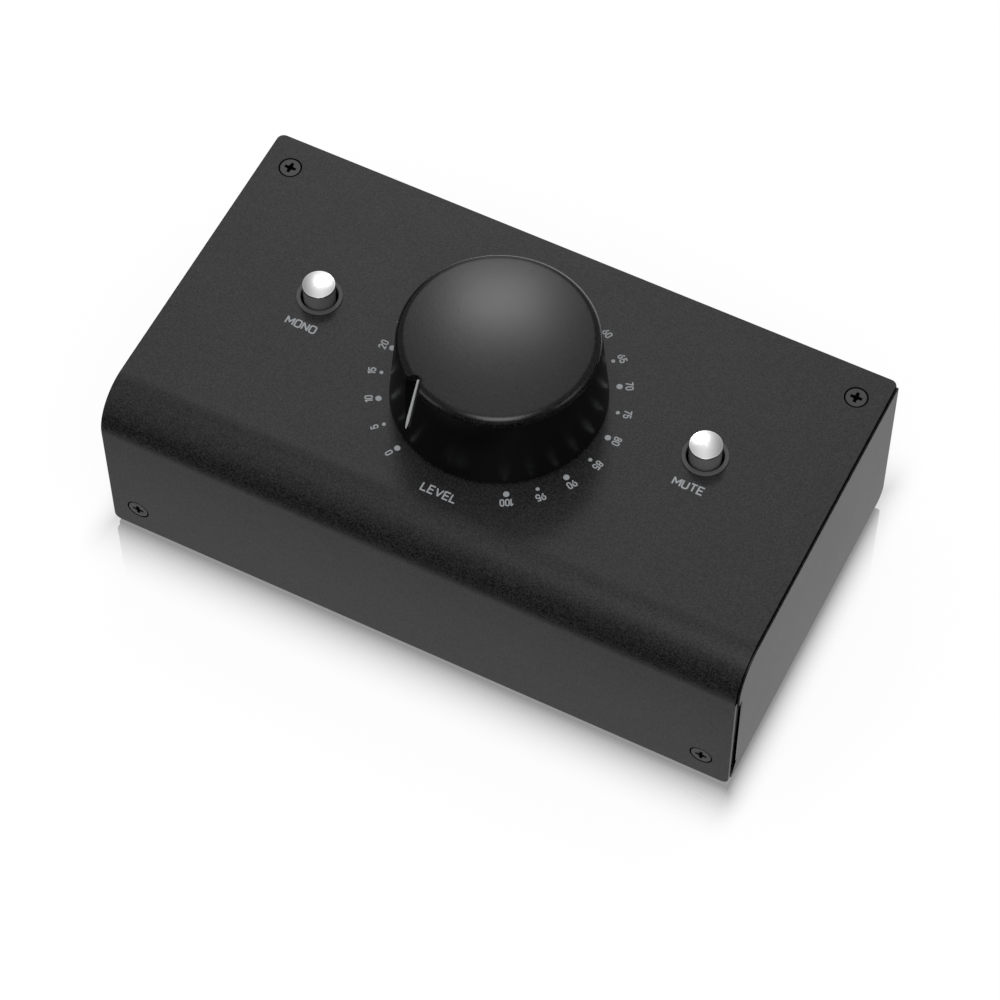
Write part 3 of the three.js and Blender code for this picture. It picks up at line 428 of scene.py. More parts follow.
class Effects:
    """Shader groups that several finishes share, each built once."""

    FLOAT, COLOUR, VECTOR = "NodeSocketFloat", "NodeSocketColor", "NodeSocketVector"
    FINE_SHARE = 0.88
    COARSE_SCALE = 0.31
    SMUDGE_SPAN = (0.3, 0.7)

    def __init__(self) -> None:
        """Builds the groups."""
        self.grain = self._grain()
        self.smudge = self._smudge()
        self.rings = self._rings()

    @staticmethod
    def _group(
        name: str, inputs: dict[str, str], outputs: dict[str, str]
    ) -> tuple[Graph, bpy.types.NodeOutputs, bpy.types.NodeInputs]:
        """Makes an empty group.

        Args:
            name: the group's name.
            inputs: socket types by input name.
            outputs: socket types by output name.

        Returns:
            A graph on it, the sockets that bring its inputs and those that take its outputs.
        """
        tree = bpy.data.node_groups.new(name, "ShaderNodeTree")
        for way, sockets in (("INPUT", inputs), ("OUTPUT", outputs)):
            for label, kind in sockets.items():
                tree.interface.new_socket(label, in_out=way, socket_type=kind)
        source, result = tree.nodes.new("NodeGroupInput"), tree.nodes.new("NodeGroupOutput")
        return Graph(tree), source.outputs, result.inputs

    def _grain(self) -> bpy.types.NodeTree:
        """Fine grain of a coat or moulded face: a fine and a coarse noise, weighted and added.

        The colour is the base times 1 plus the contrast times what the sum exceeds one half by.
        """
        graph, source, result = self._group(
            "fine_grain",
            {"Base": self.COLOUR, "Size": self.FLOAT, "Contrast": self.FLOAT},
            {"Colour": self.COLOUR, "Height": self.FLOAT},
        )
        place, frequency = graph.place(), graph.math("DIVIDE", 1.0, source["Size"])
        fine = graph.add("TexNoise", Vector=place, Scale=frequency, Detail=2.0, Roughness=0.6)
        wide = graph.math("MULTIPLY", frequency, self.COARSE_SCALE)
        coarse = graph.add("TexNoise", Vector=place, Scale=wide, Detail=1.0, Roughness=0.5)
        weighted = (
            graph.math("MULTIPLY", noise.outputs["Fac"], share)
            for noise, share in ((fine, self.FINE_SHARE), (coarse, 1 - self.FINE_SHARE))
        )
        total = graph.math("ADD", *weighted)
        spread = graph.math("MULTIPLY", graph.math("SUBTRACT", total, 0.5), source["Contrast"])
        factor = graph.math("ADD", 1.0, spread)
        shade = graph.add("VectorMath", operation="SCALE", Vector=source["Base"], Scale=factor)
        graph.put(shade.outputs[0], result["Colour"])
        graph.put(total, result["Height"])
        return graph.tree

    def _smudge(self) -> bpy.types.NodeTree:
        """Slow change of a value over a surface: a broad noise mapped between two values."""
        graph, source, result = self._group(
            "slow_smudge", {"Size": self.FLOAT, "Low": self.FLOAT, "High": self.FLOAT}, {"Value": self.FLOAT}
        )
        scale = graph.math("DIVIDE", 1.0, source["Size"])
        noise = graph.add("TexNoise", Vector=graph.place(), Scale=scale, Detail=3.0, Roughness=0.55)
        span = graph.math("SUBTRACT", source["High"], source["Low"])
        share = graph.ramp(noise.outputs["Fac"], self.SMUDGE_SPAN, (0.0, 1.0))
        graph.put(graph.math("ADD", source["Low"], graph.math("MULTIPLY", span, share)), result["Value"])
        return graph.tree

    def _rings(self) -> bpy.types.NodeTree:
        """Turning marks: a noise of the distance from the z axis of the given coordinates."""
        graph, source, result = self._group(
            "turning_rings", {"Vector": self.VECTOR, "Pitch": self.FLOAT}, {"Height": self.FLOAT}
        )
        parts = graph.add("SeparateXYZ", Vector=source["Vector"]).outputs
        squares = [graph.math("MULTIPLY", parts[i], parts[i]) for i in (0, 1)]
        radius = graph.math("SQRT", graph.math("ADD", *squares))
        cycle = graph.math("DIVIDE", radius, source["Pitch"])
        noise = graph.add("TexNoise", noise_dimensions="1D", W=cycle, Detail=3.0, Roughness=0.7, Scale=1.0)
        graph.put(noise.outputs["Fac"], result["Height"])
        return graph.tree


@dataclass(frozen=True)
class Finish:
    """A finish as it would be ordered: colour, gloss and surface texture.

    Attributes:
        name: the material's name.
        colour: linear base colour.
        roughness: lowest roughness over the surface.
        roughness_span: how much roughness rises in the smudged places.
        specular: specular level of the shader.
        grain_size: size of the grain.
        contrast: share by which the grain changes the colour.
        relief: height of the grain.
        metallic: 1 for bare metal.
    """

    SMUDGE_SCALE = 40

    name: str
    colour: tuple[float, float, float]
    roughness: float
    roughness_span: float
    specular: float
    grain_size: float
    contrast: float
    relief: float
    metallic: float = 0.0

    def material(self, effects: Effects) -> bpy.types.Material:
        """Builds the material: grain to colour and bump, smudges to roughness.

        Args:
            effects: the shared shader groups.

        Returns:
            The material.
        """
        material = bpy.data.materials.new(self.name)
        material.use_nodes = True
        graph = Graph(material.node_tree)
        grain = graph.add(
            "Group", node_tree=effects.grain,
            Base=(*self.colour, 1.0), Size=self.grain_size, Contrast=self.contrast,
        )
        smudge = graph.add(
            "Group", node_tree=effects.smudge, Size=self.SMUDGE_SCALE * self.grain_size,
            Low=self.roughness, High=self.roughness + self.roughness_span,
        )
        shader = graph.fill(
            material.node_tree.nodes["Principled BSDF"],
            Metallic=self.metallic,
            Specular_IOR_Level=self.specular,
            Base_Color=grain.outputs["Colour"],
            Roughness=smudge.outputs["Value"],
            Normal=graph.bump(grain.outputs["Height"], self.relief),
        )
        self.refine(graph, shader, effects)
        return material

    def refine(self, graph: Graph, shader: bpy.types.Node, effects: Effects) -> None:
        """Adds what only this finish has. A plain finish adds nothing."""


@dataclass(frozen=True)
class SpunFinish(Finish):
    """Metal with turning marks round a centre.

    Attributes:
        centre: point that the marks run round.
        pitch: distance between marks.
        drawn_out: how much the marks draw out a reflection, from 0 to 1.
    """

    centre: tuple[float, float, float] = (0.0, 0.0, 0.0)
    pitch: float = 4e-5
    drawn_out: float = 0.4

    def refine(self, graph: Graph, shader: bpy.types.Node, effects: Effects) -> None:
        """Takes the bump from turning marks, and draws the gloss out across them."""
        shift = graph.add("Mapping", vector_type="POINT", Vector=graph.place())
        graph.put(tuple(-value for value in self.centre), shift.inputs["Location"])
        rings = graph.add("Group", node_tree=effects.rings, Vector=shift.outputs["Vector"], Pitch=self.pitch)
        graph.fill(
            shader,
            Tangent=graph.add("Tangent", direction_type="RADIAL", axis="Z").outputs["Tangent"],
            Anisotropic=self.drawn_out,
            Anisotropic_Rotation=0.25,
            Normal=graph.bump(rings.outputs["Height"], self.relief),
        )


class Palette:
    """All finishes of the object, made into materials when they are first used.

    Each row gives a finish's name and colour, then its roughness and how much it rises, specular
    level, grain size, contrast and relief, and 1 for metal.
    """

    COAT = Finish("charcoal_powder_coat", grey(26), 0.44, 0.01, 0.5, 4.5e-4, 7.0, 1.2e-5)
    # Painted shade: a near-black matt look without gloss, for the cover's upper side edges, its countersinks
    # and the cover screws' recesses.
    PAINTED_SHADE = Finish("painted_shade_black", grey(6), 0.9, 0.05, 0.0, 5e-4, 0.4, 5e-6)
    SCREW = Finish("black_zinc", grey(52), 0.45, 0.05, 0.6, 3e-4, 0.3, 3e-6)
    KNOB_TOP = Finish("knob_satin", grey(15), 0.25, 0.01, 0.5, 4.5e-4, 7.0, 1.2e-5)
    KNOB_SKIRT = Finish("knob_gloss", grey(8), 0.28, 0.02, 0.3, 1e-3, 0.2, 4e-7)
    PLASTIC = Finish("black_moulding", grey(24), 0.4, 0.05, 0.4, 3e-4, 0.3, 3e-6)
    BEZEL = Finish("bezel_moulding", grey(78), 0.5, 0.05, 0.5, 2e-4, 0.2, 2e-6)
    SLEEVE = Finish("button_sleeve", grey(104), 0.35, 0.05, 0.4, 2e-4, 0.2, 2e-6)
    RUBBER = Finish("black_rubber", grey(26), 0.85, 0.05, 0.2, 4e-4, 0.4, 1e-5)
    INK = Finish("light_ink", grey(162, 0.04), 0.6, 0.05, 0.2, 2e-4, 0.15, 2e-6)
    POINTER = Finish("pointer_paint", grey(180, 0.01), 0.5, 0.05, 0.3, 2e-4, 0.08, 1e-6)
    NICKEL = Finish("nickel_plate", grey(190), 0.25, 0.12, 0.5, 3e-4, 0.1, 1e-6, 1.0)
    BRASS = Finish("turned_brass", (0.62, 0.45, 0.18), 0.28, 0.12, 0.5, 3e-4, 0.12, 1e-6, 1.0)
    CONTACT = Finish("contact_plating", grey(225), 0.15, 0.06, 0.5, 3e-4, 0.05, 4e-7, 1.0)
    BOARD = Finish("solder_mask", (0.012, 0.075, 0.03), 0.3, 0.05, 0.5, 1.2e-3, 0.3, 2e-6)
    RIBBON = Finish("ribbon_jacket", grey(135), 0.55, 0.05, 0.3, 1e-3, 0.2, 5e-6)

    def __init__(self, effects: Effects) -> None:
        """Takes the shared shader groups."""
        self._effects = effects
        self._made: dict[str, bpy.types.Material] = {}

    def get(self, finish: Finish) -> bpy.types.Material:
        """The material of a finish, built on first use."""
        if finish.name not in self._made:
            self._made[finish.name] = finish.material(self._effects)
        return self._made[finish.name]

    def dress_node(self, node: str, finish: Finish) -> None:
        """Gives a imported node, whose shape is kept, a material."""
        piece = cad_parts[node]
        if not piece.material_slots:
            piece.data.materials.append(self.get(finish))
        for slot in piece.material_slots:
            slot.material = self.get(finish)

    def deliver(
        self, piece: bpy.types.Object, looks: Sequence[Finish], body: str, slot: str, *nodes: str
    ) -> bpy.types.Object:
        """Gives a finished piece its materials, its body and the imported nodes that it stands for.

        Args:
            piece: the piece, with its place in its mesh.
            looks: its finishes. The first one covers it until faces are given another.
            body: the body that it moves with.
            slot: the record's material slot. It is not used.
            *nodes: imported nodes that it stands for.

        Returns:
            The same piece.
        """
        piece.data.materials.clear()
        for look in looks:
            piece.data.materials.append(self.get(look))
        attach(piece, body)
        if nodes:
            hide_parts(*nodes)
        log.info("%s: %d faces on %s", piece.name, len(piece.data.polygons), body)
        return piece


def seat(row: str, side: str) -> tuple[Vector, Plane]:
    """Middle of a cover screw's face, on the cover's outer face, and the plane of that face."""
    spot = centre_of(f"cover_screw_{row}_{side}")
    if row == "rear":
        return Vector((spot.x, spot.y, TOP)), Plane.FLOOR
    return Vector((spot.x, FRONT, spot.z)), Plane.WALL


def from_seat(points: np.ndarray, place: Vector, plane: Plane) -> tuple[np.ndarray, np.ndarray]:
    """Distance of points from a screw's axis, and their depth below the cover's outer face."""
    away = points - np.array(place, np.float32)
    first, second, thickness = plane.value
    depth = -away[:, 2] if plane is Plane.FLOOR else away[:, thickness]
    return np.hypot(away[:, first], away[:, second]), depth


@dataclass(frozen=True)
class Cover:
    """Top and front of the case: one sheet, bent once, with screw and button holes.

    Attributes:
        sheet: thickness of the sheet.
        bend: outer radius of the bend.
        corner: radius of the free corners.
        edge: rounding of the coated edges.
        sink: radius of the countersinks at the surface.
        lip: how much wider their mouth's rounding is, and its height.
        shank: radius of the screw holes.
        button_hole: radius of the holes under the bezels.
        pot_hole: radius of the hole under the knob.
        reach: how far the cutters go below and above the surface.
        sink_rise: how far a countersink's cutter goes above it.
        shaded_edge_band: share of the edge's rounding that gets the near-black painted shade.
        shaded_edge_low: height above which the cut edge gets the near-black painted shade; below it the edge
            is lit from the side and keeps the coat's look.
    """

    sheet: float = 0.0013
    bend: float = 0.012
    corner: float = 0.0019
    edge: float = 0.00025
    sink: float = 0.00306
    lip: tuple[float, float] = (0.0001, 0.00008)
    shank: float = 0.0017
    button_hole: float = 0.0053
    pot_hole: float = 0.0047
    reach: tuple[float, float] = (0.004, 0.001)
    sink_rise: float = 0.0005
    shaded_edge_band: float = 0.6
    shaded_edge_low: float = 0.0375

    @property
    def flat(self) -> float:
        """Length of the flat top, from the rear edge to the bend."""
        return COVER_HIGH.y - FRONT - self.bend

    @property
    def arc(self) -> float:
        """Length of the bend along the outer face."""
        return self.bend * math.pi / 2

    def fold(self, across: np.ndarray, along: np.ndarray, depth: np.ndarray) -> np.ndarray:
        """Bends flat sheet coordinates into place.

        A point at distance s from the rear edge lies on the flat top, then on a quarter circle,
        then on the flat front. Depth counts inwards from the outer face.

        Args:
            across: x.
            along: distance from the rear edge along the outer face.
            depth: distance below the outer face.

        Returns:
            Points in space.
        """
        angle = np.clip((along - self.flat) / self.bend, 0, math.pi / 2)
        radius = self.bend - depth
        y = FRONT + self.bend - radius * np.sin(angle) + np.clip(self.flat - along, 0, None)
        z = TOP - self.bend + radius * np.cos(angle) - np.clip(along - self.flat - self.arc, 0, None)
        return np.stack(np.broadcast_arrays(across, y, z), axis=-1)

    def _rows(self, length: float) -> np.ndarray:
        """Distances from the rear edge of the rows that the faces are divided into."""
        turn = np.linspace(0, math.pi / 2, 9)
        corner = self.edge + (self.corner - self.edge) * (1 - np.cos(turn))
        bend = self.flat + np.linspace(0, self.arc, 37)
        guards = [self.flat - GUARD * 10, self.flat + self.arc + GUARD * 10]
        first = [self.edge, self.edge + GUARD, *corner]
        return np.unique(np.round([*first, *bend, *guards, *(length - np.array(first))], 9))

    def shells(self) -> list[Shell]:
        """Both faces of the sheet and the rounded edge that joins them.

        A face is a grid: rows run along the sheet, and each row's points run evenly from one
        side to the other, drawn in at the rounded corners.

        Returns:
            The closed surface as three parts.
        """
        length = COVER_HIGH.y - FRONT + TOP - COVER_LOW.z - (2 - math.pi / 2) * self.bend
        rows = self._rows(length)
        half = (COVER_HIGH.x - COVER_LOW.x) / 2
        radius = self.corner - self.edge
        near = np.minimum(rows, length - rows)
        dip = np.clip(self.corner - near, 0, radius)
        width = half - self.edge - (radius - np.sqrt(np.clip(radius**2 - dip**2, 0, None)))
        guard = 1 - GUARD / half
        columns = np.array([-1, -guard, *np.linspace(-0.97, 0.97, 13), guard, 1])
        across = width[:, None] * columns
        along = np.repeat(rows[:, None], len(columns), axis=1)
        faces = [lattice(self.fold(across, along, np.full_like(across, d))) for d in (0.0, self.sheet)]
        sheet = np.stack([across, along], axis=-1)
        loop = np.concatenate([sheet[0], sheet[1:, -1], sheet[-1, -2::-1], sheet[-2:0:-1, 0]])
        limit = np.array([half - self.corner, length - self.corner])
        out = loop - np.clip(loop, [-limit[0], self.corner], limit)
        out /= np.linalg.norm(out, axis=1)[:, None]
        section = edge_section(self.sheet, self.edge)[1:-1]
        rim = loop + out * (self.edge - section[:, :1, None])
        faces.append(lattice(self.fold(rim[..., 0], rim[..., 1], section[:, 1:]), tube=True))
        return faces

    def countersink(self, place: Vector, plane: Plane) -> Shell:
        """Cutter of a countersunk hole whose mouth lies on the outer face."""
        mouth, lip_height = self.sink + self.lip[0], self.lip[1]
        profile = np.array([
            (0, -self.reach[0]), (self.shank, -self.reach[0]), (self.shank, self.shank - self.sink),
            (self.sink, 0), (mouth, lip_height), (mouth, self.sink_rise), (0, self.sink_rise),
        ])
        return turned(profile * [1, 1 if plane is Plane.FLOOR else -1], place, 64, plane)

    def build(self, palette: Palette) -> None:
        """Makes the cover, cuts its holes and dresses it. The countersinks and the upper side edges get a
        near-black painted shade.
        """
        seats = [seat(row, side) for side in SIDES for row in ("rear", "front")]
        tools = [self.countersink(*one) for one in seats]
        holes = [(centre_of(f"{name}_bezel_ring"), self.button_hole) for name in ("mono", "mute")]
        below, above = self.reach
        for spot, radius in (*holes, (KNOB_AXIS, self.pot_hole)):
            tools.append(cylinder(radius, -below, above, (spot.x, spot.y, TOP), 96))
        cover = carved(assemble("top_cover_sheet", self.shells()), tools)
        palette.deliver(cover, (Palette.COAT, Palette.PAINTED_SHADE), "case", "powder_coat", "top_cover")
        centres = face_centres(cover)
        # The side edges of the top and the bend get a near-black painted shade that stands in for the shadow
        # gap beside the side panels.
        edge_in_shade = np.abs(centres[:, 0]) > COVER_HIGH.x - self.shaded_edge_band * self.edge
        use_second_look(cover, edge_in_shade & (centres[:, 2] > self.shaded_edge_low))
        # The countersinks around the screw heads get the same near-black painted shade.
        for place, plane in seats:
            out, depth = from_seat(centres, place, plane)
            use_second_look(cover, (out < self.sink) & (depth > GUARD))


@dataclass(frozen=True)
class Chassis:
    """Folded tray: bottom, rear wall, top flange, side panels with their front flanges.

    Attributes:
        sheet: thickness of the sheet.
        edge: rounding of the coated edges.
        corner: rounding of the outline's plain corners.
        tip: rounding of its small ones.
        lap: how far the side panels' face lies inside the flanges'.
        front: front end of the bottom and the side panels, behind the cover's front face.
        rear_corner: radius between bottom and rear.
        side_top: height of the side panels' top edge.
        bend: radius of the side panels' upper front corner, whose middle is that of the cover's bend.
        relief: depth from the side panel's front end, and lower end, of the relief low at the front.
        slit: gap over the front flange.
        flange_face: distance of the front flange behind the cover's front face.
        flange_bend: radius of its bend.
        flange_return: how far it runs on behind the bend.
        flange_length: its length from the side inwards.
        flange_span: heights between which it stands.
        flange_tip: rounding of its free end.
        tab_low: height of the lower end of its tab.
        tab_gap: how far the tab ends short of the bend, which is its corners' radius too.
        tab_overlap: how far the tab runs up inside the flange.
        tab_inset: how far its faces lie inside the flange's.
        top_flange: distance behind the cover's front face, and height, of the top flange's end.
        top_bend: radius of its bend.
        drill: how far the cutters of the rear wall's holes go to each side.
    """

    sheet: float = 0.0012
    edge: float = 0.00022
    corner: float = 0.0006
    tip: float = 0.0002
    lap: float = 0.000012
    front: float = 0.0016
    rear_corner: float = 0.004
    side_top: float = 0.05115
    bend: float = 0.00995
    relief: tuple[float, float] = (0.0023, 0.0044)
    slit: float = 0.0004
    flange_face: float = 0.0014
    flange_bend: float = 0.002
    flange_return: float = 0.0008
    flange_length: float = 0.0145
    flange_span: tuple[float, float] = (0.0088, 0.0375)
    flange_tip: float = 0.0003
    tab_low: float = 0.005
    tab_gap: float = 0.0005
    tab_overlap: float = 0.001
    tab_inset: float = 0.00002
    top_flange: tuple[float, float] = (0.078, 0.0518)
    top_bend: float = 0.002
    drill: float = 0.004

    def tray(self) -> Shell:
        """Bottom, rear wall and top flange: one bent strip carried from side to side."""
        bottom, sheet, tip = CASE_LOW.z, self.sheet, 0.4 * self.sheet
        front, flange, top = FRONT + self.front, FRONT + self.top_flange[0], self.top_flange[1]
        corners = [
            (front, bottom, tip), (REAR, bottom, self.rear_corner), (REAR, top, self.top_bend),
            (flange, top, tip), (flange, top - sheet, tip),
            (REAR - sheet, top - sheet, self.top_bend - sheet),
            (REAR - sheet, bottom + sheet, self.rear_corner - sheet), (front, bottom + sheet, tip),
        ]
        half = CASE_HIGH.x - 0.5 * sheet
        return plate(filleted(corners, steps=10), -half, half, GUARD, Plane.SIDE)

    def side(self, turn: int) -> Shell:
        """Side panel: it follows the cover's bend and has a relief low at the front."""
        front, bottom, relief = FRONT + self.front, CASE_LOW.z, FRONT + (self.front + self.relief[0])
        bend, start = FRONT + (Cover.bend - self.bend), FRONT + (self.flange_face + self.flange_bend)
        slit, low = self.flange_span[1] + self.slit, self.flange_span[0]
        corners = [
            (front, bottom, self.corner), (REAR, bottom, self.rear_corner),
            (REAR, self.side_top, self.corner),
            (bend, self.side_top, self.bend), (bend, slit, self.tip), (start, slit, self.tip),
            (start, low, self.tip / 2), (relief, low, self.tip / 2), (front, self.relief[1], self.tip),
        ]
        near, far = sorted((turn * (CASE_HIGH.x - self.lap), turn * (CASE_HIGH.x - self.sheet)))
        return plate(filleted(corners, steps=12), near, far, self.edge, Plane.SIDE)

    def flange(self, turn: int) -> Shell:
        """Front flange: a bent strip in plan, carried up the height of the flange."""
        outer, inner = turn * CASE_HIGH.x, turn * (CASE_HIGH.x - self.sheet)
        face, free = FRONT + self.flange_face, turn * (CASE_HIGH.x - self.flange_length)
        end = FRONT + (self.flange_face + self.flange_bend + self.flange_return)
        corners = [
            (free, face, self.flange_tip), (outer, face, self.flange_bend), (outer, end, 0.0),
            (inner, end, 0.0), (inner, face + self.sheet, self.flange_bend - self.sheet),
            (free, face + self.sheet, self.flange_tip),
        ]
        return plate(filleted(corners, steps=8), *self.flange_span, self.edge / 2, Plane.FLOOR)

    def tab(self, turn: int) -> Shell:
        """Lower end of the front flange, short of the bend."""
        free, bend = CASE_HIGH.x - self.flange_length, CASE_HIGH.x - self.flange_bend - self.tab_gap
        low, overlap = self.flange_span[0], self.tab_overlap
        middle = (turn * (free + bend) / 2, (self.tab_low + low + overlap) / 2)
        outline = rectangle(middle, bend - free, low + overlap - self.tab_low, self.tab_gap)
        face, inset = FRONT + self.flange_face, self.tab_inset
        return plate(outline, face + inset, face + self.sheet - inset, self.edge / 2, Plane.WALL)

    def build(self, palette: Palette, openings: Sequence[tuple[Vector, float]]) -> None:
        """Makes the chassis with holes in its rear wall.

        Args:
            palette: source of the materials.
            openings: centre and radius of each hole in the rear wall.
        """
        tools = [
            cylinder(radius, -self.drill, self.drill, (spot.x, REAR, spot.z), 96, Plane.WALL)
            for spot, radius in openings
        ]
        tray = carved(assemble("chassis_tray", [self.tray()]), tools)
        palette.deliver(tray, (Palette.COAT,), "case", "powder_coat", "chassis")
        for turn, name in zip((-1, 1), SIDES):
            panel = assemble(f"chassis_side_{name}", [self.side(turn), self.flange(turn), self.tab(turn)])
            palette.deliver(panel, (Palette.COAT,), "case", "powder_coat")


@dataclass(frozen=True)
class CrossScrew:
    """Screw with a cross recess. The cover's countersunk screws have the given sizes.

    Attributes:
        head: radius of the head.
        shank: radius of the thread.
        length: overall length.
        point: size of the bevel at the tip.
        edge: rounding of the head's rim.
        rim: height of the straight side under it.
        arm: half length of the recess.
        slot: half width of an arm at its outer end.
        depth: depth of the recess.
        soft: width over which its walls fall.
        dark: depth below which a cover screw's faces, in its cross recess and under its head, get the
            near-black painted shade.
    """

    WIDER_MIDDLE = 0.55
    ROUND_MIDDLE = 2.1
    SHALLOWER_ENDS = 0.45

    head: float = 0.00268
    shank: float = 0.0015
    length: float = 0.007
    point: float = 0.0005
    edge: float = 0.00016
    rim: float = 0.0001
    arm: float = 0.0015
    slot: float = 0.00036
    depth: float = 0.0011
    soft: float = 0.00008
    dark: float = 0.00012

    def recess(self, x: np.ndarray, y: np.ndarray) -> np.ndarray:
        """Depth of the cross at a place: full inside its arms, none outside, smooth between.

        The arms widen towards the round middle, end at the arm's length and get shallower
        towards it.
        """
        across = np.minimum(np.abs(x), np.abs(y))
        along = np.maximum(np.abs(x), np.abs(y))
        width = self.slot * (1 + self.WIDER_MIDDLE * np.clip(1 - along / self.arm, 0, 1) ** 2)
        inside = np.minimum(width - across, self.arm - along)
        middle = self.ROUND_MIDDLE * self.slot - np.hypot(x, y)
        share = np.clip(0.5 + np.maximum(inside, middle) / self.soft, 0, 1)
        slope = 1 - self.SHALLOWER_ENDS * np.clip(along / self.arm, 0, 1)
        return self.depth * slope * share * share * (3 - 2 * share)

    def pressed(self, flat: float, rest: np.ndarray, steps: int, turn: float = 0.0) -> Shell:
        """Turns a screw about z, with its head up, and presses the recess into its face.

        Args:
            flat: radius of the flat face, which lies at height 0.
            rest: (radius, height) points from the flat face's edge round to the tip.
            steps: points round the screw.
            turn: angle of the cross, in radians.

        Returns:
            The closed surface.
        """
        face = np.linspace(0, 1, 40)[:-1] * flat
        profile = np.concatenate([np.stack([face, np.zeros(len(face))], axis=1), rest])
        shell = turned(profile, (0, 0, 0), steps)
        x, y, z = shell.points.T
        c, s = math.cos(turn), math.sin(turn)
        depth = np.where(z > -GUARD, self.recess(c * x + s * y, c * y - s * x), 0)
        return Shell(np.stack([x, y, z - depth], axis=1), shell.faces)

    def countersunk(self, turn: float) -> Shell:
        """The cover's screw with the middle of its face at the origin."""
        cone, flat = self.head - self.shank, self.head - self.edge
        bend = np.linspace(0, math.pi / 2, 5)
        rim = np.stack([flat + self.edge * np.sin(bend), -self.edge + self.edge * np.cos(bend)], axis=1)
        body = np.array([
            [self.head, -self.edge - self.rim], [self.shank, -cone - self.rim],
            [self.shank, -self.length + self.point], [self.shank - self.point, -self.length],
            [0, -self.length],
        ])
        return self.pressed(flat, np.concatenate([rim, body]), 128, turn)


@dataclass(frozen=True)
class CoverScrews:
    """The four screws that hold the cover.

    Attributes:
        screw: the screw.
        turns: how far the crosses are turned, in degrees, in the rear row and in the front row.
    """

    screw: CrossScrew = CrossScrew()
    turns: tuple[float, float] = (2, 0)

    def build(self, palette: Palette) -> None:
        """Makes and dresses the screws."""
        for row, turn in zip(("rear", "front"), self.turns):
            for side in SIDES:
                node = f"cover_screw_{row}_{side}"
                place, plane = seat(row, side)
                shell = self.screw.countersunk(math.radians(turn))
                inwards = [1, 1, 1 if plane is Plane.FLOOR else -1]
                shell.points = plane.lay(shell.points * inwards) + np.array(place)
                piece = assemble(f"{node}_cross", [shell])
                looks = (Palette.SCREW, Palette.PAINTED_SHADE)
                palette.deliver(piece, looks, "case", "black_screw", node)
                # Painted shade: faces deeper than the given depth, in the cross and under the head, are
                # near-black.
                depth = from_seat(face_centres(piece), place, plane)[1]
                use_second_look(piece, depth > self.screw.dark)


